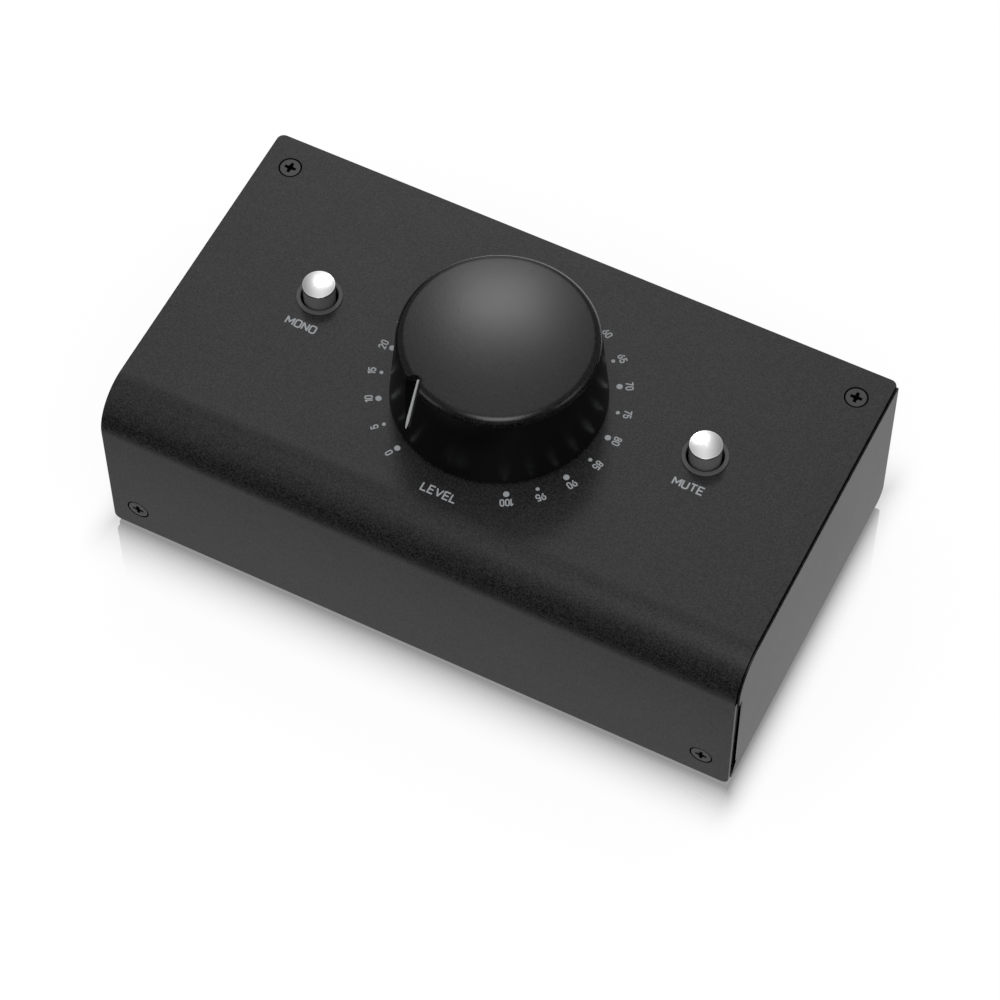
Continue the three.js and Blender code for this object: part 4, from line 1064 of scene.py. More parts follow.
@dataclass(frozen=True)
class VolumeKnob:
    """The large knob: glossy cone, rounded shoulder, satin domed top, V notch with a light pointer.

    Heights count from the cover's top face.

    Attributes:
        base: height of the skirt's lower edge.
        base_radius: radius there.
        wall: how far in the skirt's lower edge reaches, on the outer and on the inner profile.
        rim_radius: radius of the rim, where the shoulder starts.
        rim_height: height of the rim.
        shoulder: rounding of the shoulder between skirt and top.
        satin_low: share of the shoulder above the rim from which the look is satin.
        edge_slope: slope of the domed top at its edge.
        hollow: radius and height of the hollow under the top.
        boss: radius of the boss round the metal insert.
        direction: bearing of the pointer at rest, in degrees.
        notch_top: radius and height of the upper end of the notch floor.
        notch_foot: radius and height of its lower end.
        notch_half: half width of the notch floor.
        notch_soft: rounding of the notch's edges.
        pointer_half: half width of the pointer where it is widest.
        pointer_ends: half width of its lower and of its upper end.
        pointer_widest: share of its length, from below, where it is widest.
        pointer_span: heights of its lower and upper face over the notch floor.
        pointer_inset: how far it ends below the notch floor's upper end.
    """

    base: float = 0.0007
    base_radius: float = 0.027
    wall: tuple[float, float] = (0.0025, 0.0028)
    rim_radius: float = 0.02504
    rim_height: float = 0.022
    shoulder: float = 0.0024
    satin_low: float = 0.1
    edge_slope: float = math.radians(6)
    hollow: tuple[float, float] = (0.0216, 0.020)
    boss: float = 0.0076
    direction: float = -120.4
    notch_top: tuple[float, float] = (0.0225, 0.0242)
    notch_foot: tuple[float, float] = (0.02665, 0.0062)
    notch_half: float = 0.0008
    notch_soft: float = 0.00022
    pointer_half: float = 0.00044
    pointer_ends: tuple[float, float] = (0.00012, 0.00028)
    pointer_widest: float = 0.22
    pointer_span: tuple[float, float] = (0.00005, 0.00035)
    pointer_inset: float = 0.0005

    def outside(self) -> np.ndarray:
        """Profile of the outside as (radius, height): rounded foot, cone, shoulder and domed top.

        The shoulder is an arc from the cone's slope to the dome's, and the dome is a parabola in
        the radius whose slope at its edge is the shoulder's.
        """
        foot_corners = [
            (self.base_radius - self.wall[0], self.base, 0), (self.base_radius, self.base, 0.0003),
            (self.rim_radius, self.rim_height, 0),
        ]
        foot = filleted(foot_corners, closed=False)[:-1]
        lean = math.atan2(self.base_radius - self.rim_radius, self.rim_height - self.base)
        angle = np.linspace(lean, math.pi / 2 - self.edge_slope, 30)
        centre = np.array([self.rim_radius - self.shoulder, self.rim_height])
        roll = centre + self.shoulder * np.stack([np.cos(angle), np.sin(angle)], axis=1)
        cone = foot[-1] + (roll[0] - foot[-1]) * np.linspace(0, 1, 60)[1:-1, None]
        edge, height = roll[-1]
        rise = edge * math.tan(self.edge_slope) / 2
        share = np.linspace(1, 0, 70)[1:]
        dome = np.stack([edge * share, height + rise * (1 - share**2)], axis=1)
        return np.concatenate([foot, cone, roll, dome])

    def inside(self) -> np.ndarray:
        """Profile of the hollow underside and its boss, from the axis out to the base."""
        low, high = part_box("knob_insert")
        bore, top = radius_of("knob_insert") + 0.00005, high.z - TOP + 0.0004
        boss_low, ceiling = low.z - TOP - 0.0013, self.hollow[1]
        corners = [
            (0, top, 0), (bore, top, 0), (bore, boss_low, 0.0002), (self.boss, boss_low, 0.0003),
            (self.boss, ceiling, 0.001), (*self.hollow, 0.001),
            (self.base_radius - self.wall[1], self.base, 0),
        ]
        return filleted(corners, closed=False, steps=4)

    def bearings(self) -> np.ndarray:
        """Angles of the columns: fine beside the pointer and coarse elsewhere."""
        middle, near = math.radians(self.direction), math.radians(10)
        fine = np.linspace(-near, near, 150)
        coarse = np.linspace(near, 2 * math.pi - near, 220)[1:-1]
        return middle + np.concatenate([fine, coarse])

    def ahead(self) -> np.ndarray:
        """Level unit direction from the axis to the pointer."""
        bearing = math.radians(self.direction)
        return np.array([math.cos(bearing), math.sin(bearing), 0.0])

    def trough(self, points: np.ndarray) -> tuple[np.ndarray, np.ndarray, np.ndarray]:
        """Height of points over the notch floor's plane, height of the trough there, and the normal.

        Args:
            points: array whose last axis is (x, y, height), centred on the knob's axis.

        Returns:
            The two heights, the first one negative behind the axis, and the floor's normal.
        """
        ahead, up = self.ahead(), np.array([0, 0, 1.0])
        beside = np.cross(up, ahead)
        top, foot = np.array(self.notch_top), np.array(self.notch_foot)
        run = (top - foot) / np.linalg.norm(top - foot)
        normal = run[1] * ahead - run[0] * up
        origin = foot[0] * ahead + foot[1] * up
        over = np.where(points @ ahead > 0, (points - origin) @ normal, -1.0)
        side = np.abs((points - origin) @ beside)
        return over, np.clip(side - self.notch_half, 0, None), normal

    def notched(self, points: np.ndarray) -> np.ndarray:
        """Presses the notch into the outside.

        Each point's height over the notch floor's plane is compared with a V trough, flat up to
        half the floor's width and rising at 45 degrees beside it. The smaller one is kept, with a
        smooth minimum that rounds the edge, and the point moves along the floor's normal.

        Args:
            points: array whose last axis is (x, y, height), centred on the knob's axis.

        Returns:
            The moved points.
        """
        over, trough, normal = self.trough(points)
        gap = np.clip(0.5 + 0.5 * (over - trough) / self.notch_soft, 0, 1)
        lower = over * (1 - gap) + trough * gap - self.notch_soft * gap * (1 - gap)
        change = np.where(over > -self.notch_soft, np.minimum(lower - over, 0), 0)
        return points + change[..., None] * normal

    def build(self, palette: Palette) -> None:
        """Makes the knob and its pointer."""
        angle = self.bearings()
        circle = np.stack([np.cos(angle), np.sin(angle)], axis=-1)
        parts = []
        for profile in (self.inside(), self.outside()):
            flat = profile[:, None, :1] * circle[None]
            level = np.broadcast_to(profile[:, None, 1:], flat.shape[:2] + (1,))
            parts.append(np.concatenate([flat, level], axis=-1))
        origin = np.array([KNOB_AXIS.x, KNOB_AXIS.y, TOP])
        points = np.concatenate([parts[0], self.notched(parts[1])]) + origin
        knob = assemble("volume_knob_body", [lattice(points, tube=True)], math.radians(50))
        looks = (Palette.KNOB_SKIRT, Palette.KNOB_TOP)
        palette.deliver(knob, looks, "volume", "knob_plastic", "volume_knob")
        centres = face_centres(knob) - origin.astype(np.float32)
        over, trough, _ = self.trough(centres)
        on_top = centres[:, 2] > self.rim_height + self.satin_low * self.shoulder
        use_second_look(knob, on_top & (over < trough + 0.5 * self.notch_soft))
        self.pointer(palette)

    def pointer(self, palette: Palette) -> None:
        """Makes the pointer: a flat bar on the notch floor, round at both ends, widest low down.

        The half width is the widest one less a share that grows with the square of the distance
        below the widest place, and evenly above it. A half circle closes each end.
        """
        top, foot = Vector(self.notch_top), Vector(self.notch_foot)
        run = top - foot
        length = run.length - self.pointer_inset
        (low, high), widest = self.pointer_ends, self.pointer_widest
        t = np.linspace(0, 1, 33)
        below, above = np.clip(1 - t / widest, 0, 1), np.clip((t - widest) / (1 - widest), 0, 1)
        half = self.pointer_half - (self.pointer_half - low) * below**2 - (self.pointer_half - high) * above
        flank = np.stack([half, low + t * (length - low - high)], axis=1)
        turn = np.linspace(0, math.pi, 13)[1:-1]
        arc = np.stack([np.cos(turn), np.sin(turn)], axis=1)
        crest, base = [0, length - high] + high * arc, [0, low] - low * arc
        outline = np.concatenate([flank, crest, flank[::-1] * [-1, 1], base])
        bar = plate(outline, *self.pointer_span, 0.00002, Plane.FLOOR)
        piece = assemble("knob_pointer_bar", [bar])
        ahead, upright = Vector(self.ahead()), Vector((0, 0, 1))
        up = (run.x * ahead + run.y * upright).normalized()
        out = (run.y * ahead - run.x * upright).normalized()
        place = Vector((KNOB_AXIS.x, KNOB_AXIS.y, TOP)) + foot.x * ahead + foot.y * upright
        pose = Matrix((up.cross(out), up, out)).transposed().to_4x4()
        piece.data.transform(Matrix.Translation(place) @ pose)
        palette.deliver(piece, (Palette.POINTER,), "volume", "white_print", "knob_pointer")


@dataclass(frozen=True)
class PushButton:
    """A push button: silver cap on a dark sleeve, in a low bezel ring.

    Heights count from the cover's top face.

    Attributes:
        name: which of the two buttons it is.
        radius: radius of cap and sleeve.
        shoulder: height where the cap meets the sleeve.
        cap_edge: height of the cap's straight side.
        cap_bevel: width and height of the bevel above that side.
        crown: height of the cap's middle.
        sleeve_gap: how far the sleeve lies inside the cap, and below it.
        stem_low: height of the sleeve's lower end.
        peg: radius of the peg that works the switch.
        ring_outer: outer radius of the bezel.
        ring_inner: bore of the bezel.
        ring_height: heights of the bezel's lower and upper face.
        ring_edge: rounding of the bezel's edges.
        tube: outer radius of the bezel's guide tube.
        tube_low: height of the guide tube's lower end.
    """

    name: str
    radius: float = 0.00416
    shoulder: float = 0.00455
    cap_edge: float = 0.00514
    cap_bevel: tuple[float, float] = (0.0003, 0.00004)
    crown: float = 0.00548
    sleeve_gap: tuple[float, float] = (0.0001, 0.00005)
    stem_low: float = -0.0041
    peg: float = 0.00165
    ring_outer: float = 0.00585
    ring_inner: float = 0.00475
    ring_height: tuple[float, float] = (0.00003, 0.0005)
    ring_edge: float = 0.00016
    tube: float = 0.0052
    tube_low: float = -0.0026

    def build(self, palette: Palette) -> None:
        """Makes and dresses cap, sleeve and ring."""
        name, body = self.name, f"{self.name}_button"
        spot = centre_of(f"{body}_cap")
        silver = SpunFinish(
            f"{name}_cap_silver", grey(230), 0.17, 0.02, 0.5, 5e-4, 0.03, 8e-7, 1.0, (spot.x, spot.y, 0.0)
        )
        pieces = (
            (f"{body}_silver_cap", self.cap(), silver, body, "button_silver", f"{body}_cap"),
            (f"{body}_sleeve", self.sleeve(), Palette.SLEEVE, body, "black_plastic", f"{body}_stem"),
            (f"{name}_bezel", self.ring(), Palette.BEZEL, "case", "black_plastic", f"{name}_bezel_ring"),
        )
        for title, profile, look, rides, slot, node in pieces:
            piece = assemble(title, [turned(profile, (spot.x, spot.y, TOP))])
            palette.deliver(piece, (look,), rides, slot, node)

    def cap(self) -> np.ndarray:
        """Profile of the cap: short side, rounded shoulder, dome that is a parabola in the radius."""
        width, height = self.cap_bevel
        corners = [
            (0, self.shoulder, 0), (self.radius, self.shoulder, 0.00006),
            (self.radius, self.cap_edge, 0.00008), (self.radius - width, self.cap_edge + height, 0),
        ]
        side = filleted(corners, closed=False)
        edge, foot = side[-1]
        radius = edge * np.linspace(1, 0, 26)[1:]
        dome = foot + (self.crown - foot) * (1 - (radius / edge) ** 2)
        return np.concatenate([side, np.stack([radius, dome], axis=1)])

    def sleeve(self) -> np.ndarray:
        """Profile of the sleeve below the cap, with the peg that works the switch."""
        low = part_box(f"{self.name}_button_stem")[0].z - TOP
        side, top = self.radius - self.sleeve_gap[0], self.shoulder - self.sleeve_gap[1]
        corners = [
            (0, low, 0), (self.peg, low, 0.0003), (self.peg, self.stem_low, 0), (side, self.stem_low, 0.0003),
            (side, top, 0.0001), (0, top, 0),
        ]
        return filleted(corners, closed=False, steps=4)

    def ring(self) -> np.ndarray:
        """Profile of the bezel: low rounded ring with a guide tube through the cover."""
        low, high = self.ring_height
        return filleted([
            (self.ring_inner, self.tube_low, 0.0002), (self.tube, self.tube_low, 0.0002), (self.tube, low, 0),
            (self.ring_outer, low, 0), (self.ring_outer, high, self.ring_edge),
            (self.ring_inner, high, self.ring_edge),
        ])


@dataclass(frozen=True)
class Foot:
    """Round rubber foot with a shallow dish underneath.

    Attributes:
        dish: depth of the dish and of the bevel.
    """

    dish: float = 0.0005

    def build(self, palette: Palette) -> None:
        """Makes and dresses the four feet."""
        for name in (f"foot_{row}_{side}" for row in ("front", "rear") for side in SIDES):
            spot, (low, high), radius = centre_of(name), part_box(name), radius_of(name)
            corners = [
                (0, self.dish, 0), (radius / 3, self.dish, 0.0006), (radius / 2, 0, 0.0003),
                (radius - self.dish, 0, 0.0002), (radius, self.dish, 0.0002), (radius, high.z, 0.0001),
                (0, high.z, 0),
            ]
            shell = turned(filleted(corners, closed=False), (spot.x, spot.y, low.z), 64)
            piece = assemble(f"{name}_rubber", [shell])
            palette.deliver(piece, (Palette.RUBBER,), "case", "foot_rubber", name)


# Strokes of the printed characters, in a cell of height 1. A bar parts the strokes and a comma
# their corners, each one x, y and its rounding where it has one. A stroke whose ends meet is closed.
GLYPHS = {
    "0": "0 0 .24, .48 0 .24, .48 1 .24, 0 1 .24, 0 0 .24",
    "1": ".02 .74, .28 .95 | .3 1.07, .3 -.07",
    "2": "0 .74, 0 1 .22, .48 1 .22, .48 .62 .2, .03 .02 | -.06 0, .52 0",
    "3": "0 .78, 0 1 .2, .46 1 .22, .46 .54 .22, .16 .54 | .16 .54, .48 .54 .22, .48 0 .24, 0 0 .22, 0 .24",
    "4": ".3 1, 0 .26, .54 .26 | .4 .5, .4 0",
    "5": ".46 1, .03 1, .02 .5, .16 .6 .1, .48 .6 .22, .48 0 .24, 0 0 .24, 0 .26",
    "6": ".34 1, 0 .46 .2, 0 0 .24, .48 0 .24, .48 .58 .24, .06 .58 .1",
    "7": "0 1, .48 1, .16 0",
    "8": ".02 .54 .2, .46 .54 .2, .46 1 .2, .02 1 .2, .02 .54 .2"
         "| 0 0 .22, .48 0 .22, .48 .54 .22, 0 .54 .22, 0 0 .22",
    "9": ".14 0, .48 .54 .2, .48 1 .24, 0 1 .24, 0 .42 .24, .42 .42 .1",
    "E": ".46 1, 0 1, 0 0, .46 0 | 0 .52, .41 .52",
    "L": "0 1, 0 0, .45 0",
    "M": "0 0, 0 1 | 0 .96, .32 .32, .64 .96 | .64 1, .64 0",
    "N": "0 0, 0 1 | 0 .96, .5 .04 | .5 1, .5 0",
    "O": "0 0 .26, .52 0 .26, .52 1 .26, 0 1 .26, 0 0 .26",
    "T": "0 1, .52 1 | .26 1, .26 0",
    "U": "0 1, 0 0 .24, .5 0 .24, .5 1",
    "V": "0 1, .28 0 | .28 0, .56 1",
}


def strokes(mark: str) -> list[np.ndarray]:
    """Corners (x, y, rounding) of each stroke of a character."""
    return [
        np.array([(*map(float, corner.split()), 0.0)[:3] for corner in stroke.split(",")])
        for stroke in GLYPHS[mark].split("|")
    ]


@dataclass(frozen=True)
class Print:
    """Printed characters and dots on the cover: thin flat strokes of ink.

    Attributes:
        stroke: width of a stroke, as a share of the character's height.
        spacing: gap between characters, as a share of their height.
        ink: thickness of the ink.
        layer: how far each further stroke of a character lies above the one before.
    """

    stroke: float = 0.2
    spacing: float = 0.27
    ink: float = 0.00002
    layer: float = 4e-6

    def ribbon(self, path: np.ndarray, width: float, closed: bool, lift: float) -> Shell:
        """A flat strip along a path: its section's four corners lie half a width to either side.

        Args:
            path: points x 2.
            width: width of the strip.
            closed: the path returns to its start.
            lift: rise over the first stroke, so that crossing strokes don't share a face.

        Returns:
            The closed surface, which stands from just below the panel to the ink's top.
        """
        side = np.diff(np.vstack([path, path[:1]]) if closed else path, axis=0)
        side /= np.linalg.norm(side, axis=1)[:, None]
        normal = np.stack([-side[:, 1], side[:, 0]], axis=1)
        if closed:
            before, after = np.roll(normal, 1, axis=0), normal
        else:
            before, after = np.vstack([normal[:1], normal]), np.vstack([normal, normal[-1:]])
        across = (before + after) / (1 + (before * after).sum(1))[:, None] * width / 2
        low, high = TOP + lift - self.ink / 2, TOP + lift + self.ink
        lines = [
            np.concatenate([path + sign * across, np.full((len(path), 1), level)], axis=1)
            for sign, level in ((1, high), (-1, high), (-1, low), (1, low))
        ]
        return lattice(np.stack(lines, axis=1), ring=closed, tube=True, ends=not closed)

    def text(
        self, text: str, height: float, centre: np.ndarray, bearing: float, stretch: float = 1.0
    ) -> list[Shell]:
        """Writes a text centred on a point.

        Args:
            text: the characters.
            height: height of the characters, to the middle of their strokes.
            centre: x and y of the text's middle.
            bearing: direction in which the characters' tops point, in radians.
            stretch: width of the characters, as a share of their usual width.

        Returns:
            One surface for each stroke.
        """
        up = np.array([math.cos(bearing), math.sin(bearing)])
        right = np.array([up[1], -up[0]])
        widths = [stretch * max(stroke[:, 0].max() for stroke in strokes(mark)) for mark in text]
        pen, shells = -(sum(widths) + self.spacing * (len(text) - 1)) / 2, []
        for mark, width in zip(text, widths):
            for layer, stroke in enumerate(strokes(mark)):
                closed = bool((stroke[0] == stroke[-1]).all())
                corners = stroke[:-1] if closed else stroke
                path = filleted(corners * [stretch, 1, 1] * height, closed, 5, 0.0)
                flat = (path[:, :1] + pen * height) * right + (path[:, 1:] - height / 2) * up
                shells.append(self.ribbon(flat + centre, self.stroke * height, closed, layer * self.layer))
            pen += width + self.spacing
        return shells


@dataclass(frozen=True)
class Dial:
    """The printed scale round the knob, 0 to 100 by fives, and the three labels.

    Attributes:
        dots: radius of the circle of dots.
        numbers: radius of the circle of numbers.
        start: bearing of 0, in degrees.
        step: turn between two marks, in degrees, clockwise.
        marks: number of marks.
        big: radius of the dots at the tens.
        small: radius of the dots between.
        number_height: height of the numbers.
        label_height: height of the labels.
        label_stretch: how much wider the labels' letters are than the plain ones.
        label_spots: distances of the knob's, left and right button's labels behind the front face.
        level_shift: how far the knob's label stands right of its axis.
        ink: how all of it is printed.
    """

    dots: float = 0.02963
    numbers: float = 0.03205
    start: float = -120.0
    step: float = -15.0
    marks: int = 21
    big: float = 0.00078
    small: float = 0.0005
    number_height: float = 0.00175
    label_height: float = 0.0021
    label_stretch: float = 1.38
    label_spots: tuple[float, float, float] = (0.01507, 0.0437, 0.0438)
    level_shift: float = 0.00017
    ink: Print = Print()

    def build(self, palette: Palette) -> None:
        """Prints the dial and the labels."""
        ink, middle, shells = self.ink, np.array([KNOB_AXIS.x, KNOB_AXIS.y]), []
        for mark in range(self.marks):
            bearing = math.radians(self.start + self.step * mark)
            out = np.array([math.cos(bearing), math.sin(bearing)])
            spot, radius = middle + self.dots * out, self.small if mark % 2 else self.big
            shells.append(cylinder(radius, -ink.ink / 2, ink.ink, (*spot, TOP), 32))
            shells += ink.text(str(5 * mark), self.number_height, middle + self.numbers * out, bearing)
        prints = {"dial_print": shells}
        buttons = (centre_of(f"{name}_button_cap").x for name in ("mono", "mute"))
        across = (KNOB_AXIS.x + self.level_shift, *buttons)
        for text, x, behind in zip(("LEVEL", "MONO", "MUTE"), across, self.label_spots):
            spot = np.array([x, FRONT + behind])
            letters = ink.text(text, self.label_height, spot, math.pi / 2, self.label_stretch)
            prints[f"label_{text.lower()}"] = letters
        for name, parts in prints.items():
            palette.deliver(assemble(name, parts), (Palette.INK,), "case", "white_print")


@dataclass(frozen=True)
class PanelConnector:
    """Round connector behind the rear wall, with its lip through the wall.

    Attributes:
        node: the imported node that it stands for.
        lip: radius of the lip.
        hole: radius of the hole in the wall.
        barrel: radius of the barrel behind the wall.
        flange: width and height of the flange.
        flange_thickness: its thickness.
        flange_gap: gap between the flange and the wall.
        shoulder: how far behind the wall the lip's radius changes to the barrel's.
        proud: how far the lip stands out of the wall.
        wall: thickness of the wall.
    """

    node: str
    lip: float = 0.0117
    hole: float = 0.012
    barrel: float = 0.0112
    flange: tuple[float, float] = (0.026, 0.031)
    flange_thickness: float = 0.002
    flange_gap: float = 0.0001
    shoulder: float = 0.0005
    proud: float = 0.0014
    wall: float = 0.0012

    def centre(self) -> Vector:
        """Middle of the face, level with the wall's outer side."""
        low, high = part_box(self.node)
        return Vector(((low.x + high.x) / 2, high.y - self.proud, high.z - self.flange[1] / 2))

    def face(self) -> list[Corner]:
        """Profile corners of the face, from the axis to the lip's rim. A plain one is flat."""
        return [(0, self.proud, 0)]

    def holes(self) -> list[Shell]:
        """Cutters of the holes in the face."""
        return []

    def build(self, palette: Palette) -> None:
        """Makes and dresses the connector and its flange."""
        spot = self.centre()
        end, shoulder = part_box(self.node)[0].y - spot.y, -self.wall - self.shoulder
        corners = [
            *self.face(), (self.lip, self.proud, 0.0004), (self.lip, shoulder, 0), (self.barrel, shoulder, 0),
            (self.barrel, end, 0.0005), (0, end, 0),
        ]
        body = turned(filleted(corners, closed=False), spot, 96, Plane.WALL)
        piece = assemble(f"{self.node}_body", [body])
        holes = self.holes()
        if holes:
            carved(piece, holes)
        palette.deliver(piece, (Palette.PLASTIC,), "case", "black_plastic", self.node)
        rear = spot.y - self.wall - self.flange_gap
        outline = rectangle((spot.x, spot.z), *self.flange, 0.003)
        flange = plate(outline, rear - self.flange_thickness, rear, 0.0003, Plane.WALL)
        piece = assemble(f"{self.node}_flange", [flange])
        palette.deliver(piece, (Palette.PLASTIC,), "case", "black_plastic")


@dataclass(frozen=True)
class InputSocket(PanelConnector):
    """Combination input: ring slot for a round plug's shell, bore for a 6.35 mm plug, three contacts.

    Attributes:
        slot: inner radius, outer radius and depth of the ring slot.
        bore: radius and depth of the bore.
        step: how far the middle lies behind the rim.
        contact: radius of the contact holes.
        contact_circle: radius of the circle that they lie on.
        contact_angles: their bearings, in degrees, the odd one at the bottom.
        contact_reach: how far their cutters go behind and before the wall.
    """

    slot: tuple[float, float, float] = (0.0074, 0.0096, 0.012)
    bore: tuple[float, float] = (0.0033, 0.024)
    step: float = 0.001
    contact: float = 0.0012
    contact_circle: float = 0.00495
    contact_angles: tuple[float, float, float] = (30, 150, 270)
    contact_reach: tuple[float, float] = (0.008, 0.002)

    def face(self) -> list[Corner]:
        """Bore, middle with its bevel, ring slot and rim."""
        (inner, outer, slot_depth), (bore, bore_depth), rim = self.slot, self.bore, self.proud
        return [
            (0, rim - bore_depth, 0), (bore, rim - bore_depth, 0), (bore, rim - self.step, 0.0005),
            (inner, rim - self.step, 0.0004), (inner, rim - slot_depth, 0.0003),
            (outer, rim - slot_depth, 0.0003), (outer, rim, 0.0006),
        ]

    def holes(self) -> list[Shell]:
        """The three contact holes."""
        spot, (behind, before), tools = self.centre(), self.contact_reach, []
        for angle in self.contact_angles:
            x = spot.x + self.contact_circle * math.cos(math.radians(angle))
            z = spot.z + self.contact_circle * math.sin(math.radians(angle))
            tools.append(cylinder(self.contact, -behind, before, (x, spot.y, z), 32, Plane.WALL))
        return tools


@dataclass(frozen=True)
class OutputConnector(PanelConnector):
    """Three-pin output: a deep round cup.

    Attributes:
        cup: radius and depth of the cup.
    """

    cup: tuple[float, float] = (0.0089, 0.015)

    def face(self) -> list[Corner]:
        """Floor and wall of the cup and its rim."""
        (radius, depth), rim = self.cup, self.proud
        return [(0, rim - depth, 0), (radius, rim - depth, 0.0006), (radius, rim, 0.0006)]

    def build(self, palette: Palette) -> None:
        """Makes the connector and its three pins."""
        super().build(palette)
        side = self.node.rsplit("_", 1)[1]
        for number in (1, 2, 3):
            node = f"output_pin_{side}_{number}"
            spot, (low, high), radius = centre_of(node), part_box(node), radius_of(node)
            corners = [(0, low.y, 0), (radius, low.y, 0), (radius, high.y, 0.0008), (0, high.y, 0)]
            shell = turned(filleted(corners, closed=False), (spot.x, 0, spot.z), 32, Plane.WALL)
            piece = assemble(f"{node}_plated", [shell])
            palette.deliver(piece, (Palette.CONTACT,), "case", "contact_metal", node)


@dataclass(frozen=True)
class RearPanel:
    """Everything that shows at the back: connectors, their screws and the stereo jack.

    Attributes:
        screw_hole: radius of the holes of the connectors' screws.
        screw_rim: width and drop of the round rim of their heads.
        shank: radius of their threads.
        jack_hole: radius of the hole of the stereo jack.
        nose: radius of the jack's threaded nose.
        bore: radius and depth of its bore.
        block: half size of its block, and how far behind the wall's outer side that starts.
        screws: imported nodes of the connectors' screws.
    """

    screw_hole: float = 0.0013
    screw_rim: tuple[float, float] = (0.0006, 0.0002)
    shank: float = 0.00125
    jack_hole: float = 0.0033
    nose: float = 0.003
    bore: tuple[float, float] = (0.0018, 0.014)
    block: tuple[float, float] = (0.0058, 0.0026)
    screws: tuple[str, ...] = tuple(
        f"{group}_{side}_screw_{row}"
        for group in ("input", "output") for side in SIDES for row in ("upper", "lower")
    )

    def connectors(self) -> list[PanelConnector]:
        """The four round connectors."""
        kinds = ((InputSocket, "input_socket"), (OutputConnector, "output_connector"))
        return [kind(f"{name}_{side}") for kind, name in kinds for side in SIDES]

    def openings(self) -> list[tuple[Vector, float]]:
        """Centre and radius of each hole in the rear wall."""
        holes = [(one.centre(), one.hole) for one in self.connectors()]
        holes += [(centre_of(name), self.screw_hole) for name in self.screws]
        return [*holes, (centre_of("stereo_jack_nut"), self.jack_hole)]

    def build(self, palette: Palette) -> None:
        """Makes and dresses the rear pieces."""
        for connector in self.connectors():
            connector.build(palette)
        for name in self.screws:
            self.screw(palette, name)
        self.jack(palette)

    def screw(self, palette: Palette, node: str) -> None:
        """A pan-head screw with a cross recess."""
        spot, (low, high), head = centre_of(node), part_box(node), radius_of(node)
        under, tip, (rim, drop) = REAR - high.y, low.y - high.y, self.screw_rim
        cross = CrossScrew(head=head, arm=0.0014, slot=0.0003, depth=0.0009)
        corners = [
            (head - rim, 0, 0), (head, -drop, 0.0005), (head, under, 0), (self.shank, under, 0),
            (self.shank, tip, 0.0002), (0, tip, 0),
        ]
        shell = cross.pressed(head - rim, filleted(corners, closed=False), 96)
        shell.points = Plane.WALL.lay(shell.points * [1, -1, 1]) + np.array([spot.x, high.y, spot.z])
        palette.deliver(assemble(f"{node}_cross", [shell]), (Palette.SCREW,), "case", "black_screw", node)

    def jack(self, palette: Palette) -> None:
        """The stereo jack's threaded nose with its block, and its ring nut."""
        (low, high), (nut_low, nut_high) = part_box("stereo_jack"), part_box("stereo_jack_nut")
        spot, (bore, bore_depth), (block, behind) = centre_of("stereo_jack_nut"), self.bore, self.block
        floor, start = high.y - bore_depth, REAR - behind
        inner, outer = self.nose + 0.00005, radius_of("stereo_jack_nut")
        body = [
            (0, floor, 0), (bore, floor, 0), (bore, high.y, 0.0004), (self.nose, high.y, 0.0003),
            (self.nose, start, 0), (block, start, 0), (block, low.y, 0.0004), (0, low.y, 0),
        ]
        ring = [
            (inner, nut_low.y, 0), (outer, nut_low.y, 0), (outer, nut_high.y, 0.0005),
            (inner, nut_high.y, 0.0003),
        ]
        pieces = (
            ("body", filleted(body, closed=False), 64, Palette.PLASTIC, "black_plastic", "stereo_jack"),
            ("ring", filleted(ring), 96, Palette.NICKEL, "nickel", "stereo_jack_nut"),
        )
        for name, profile, steps, look, slot, node in pieces:
            piece = assemble(f"stereo_jack_{name}", [turned(profile, (spot.x, 0, spot.z), steps, Plane.WALL)])
            palette.deliver(piece, (look,), "case", slot, node)


class Inside:
    """The pieces inside the case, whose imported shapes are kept."""

    BOARDS = ("control", "jack")
    STANDOFFS = tuple(f"{board}_standoff_{side}" for board in BOARDS for side in SIDES)
    LOOKS = {
        Palette.NICKEL: ("pot_body", "pot_washer", "pot_nut", "pot_shaft", *STANDOFFS),
        Palette.BRASS: ("pot_bushing", "knob_insert"),
        Palette.PLASTIC: (
            "mono_switch_body", "mute_switch_body", "ribbon_header_control", "ribbon_header_jack"
        ),
        Palette.BOARD: tuple(f"{board}_board" for board in BOARDS),
        Palette.SCREW: tuple(f"{board}_board_screw_{side}" for board in BOARDS for side in SIDES),
        Palette.RIBBON: ("ribbon_cable",),
    }

    def build(self, palette: Palette) -> None:
        """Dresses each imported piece."""
        for finish, nodes in self.LOOKS.items():
            for node in nodes:
                palette.dress_node(node, finish)
            log.info("%s: %d packed pieces", finish.name, len(nodes))


def heading(azimuth: float, elevation: float) -> Vector:
    """Unit direction to a place, from its degrees right of the front and above the horizon."""
    turn, lift = math.radians(azimuth), math.radians(elevation)
    return Vector((math.sin(turn) * math.cos(lift), -math.cos(turn) * math.cos(lift), math.sin(lift)))


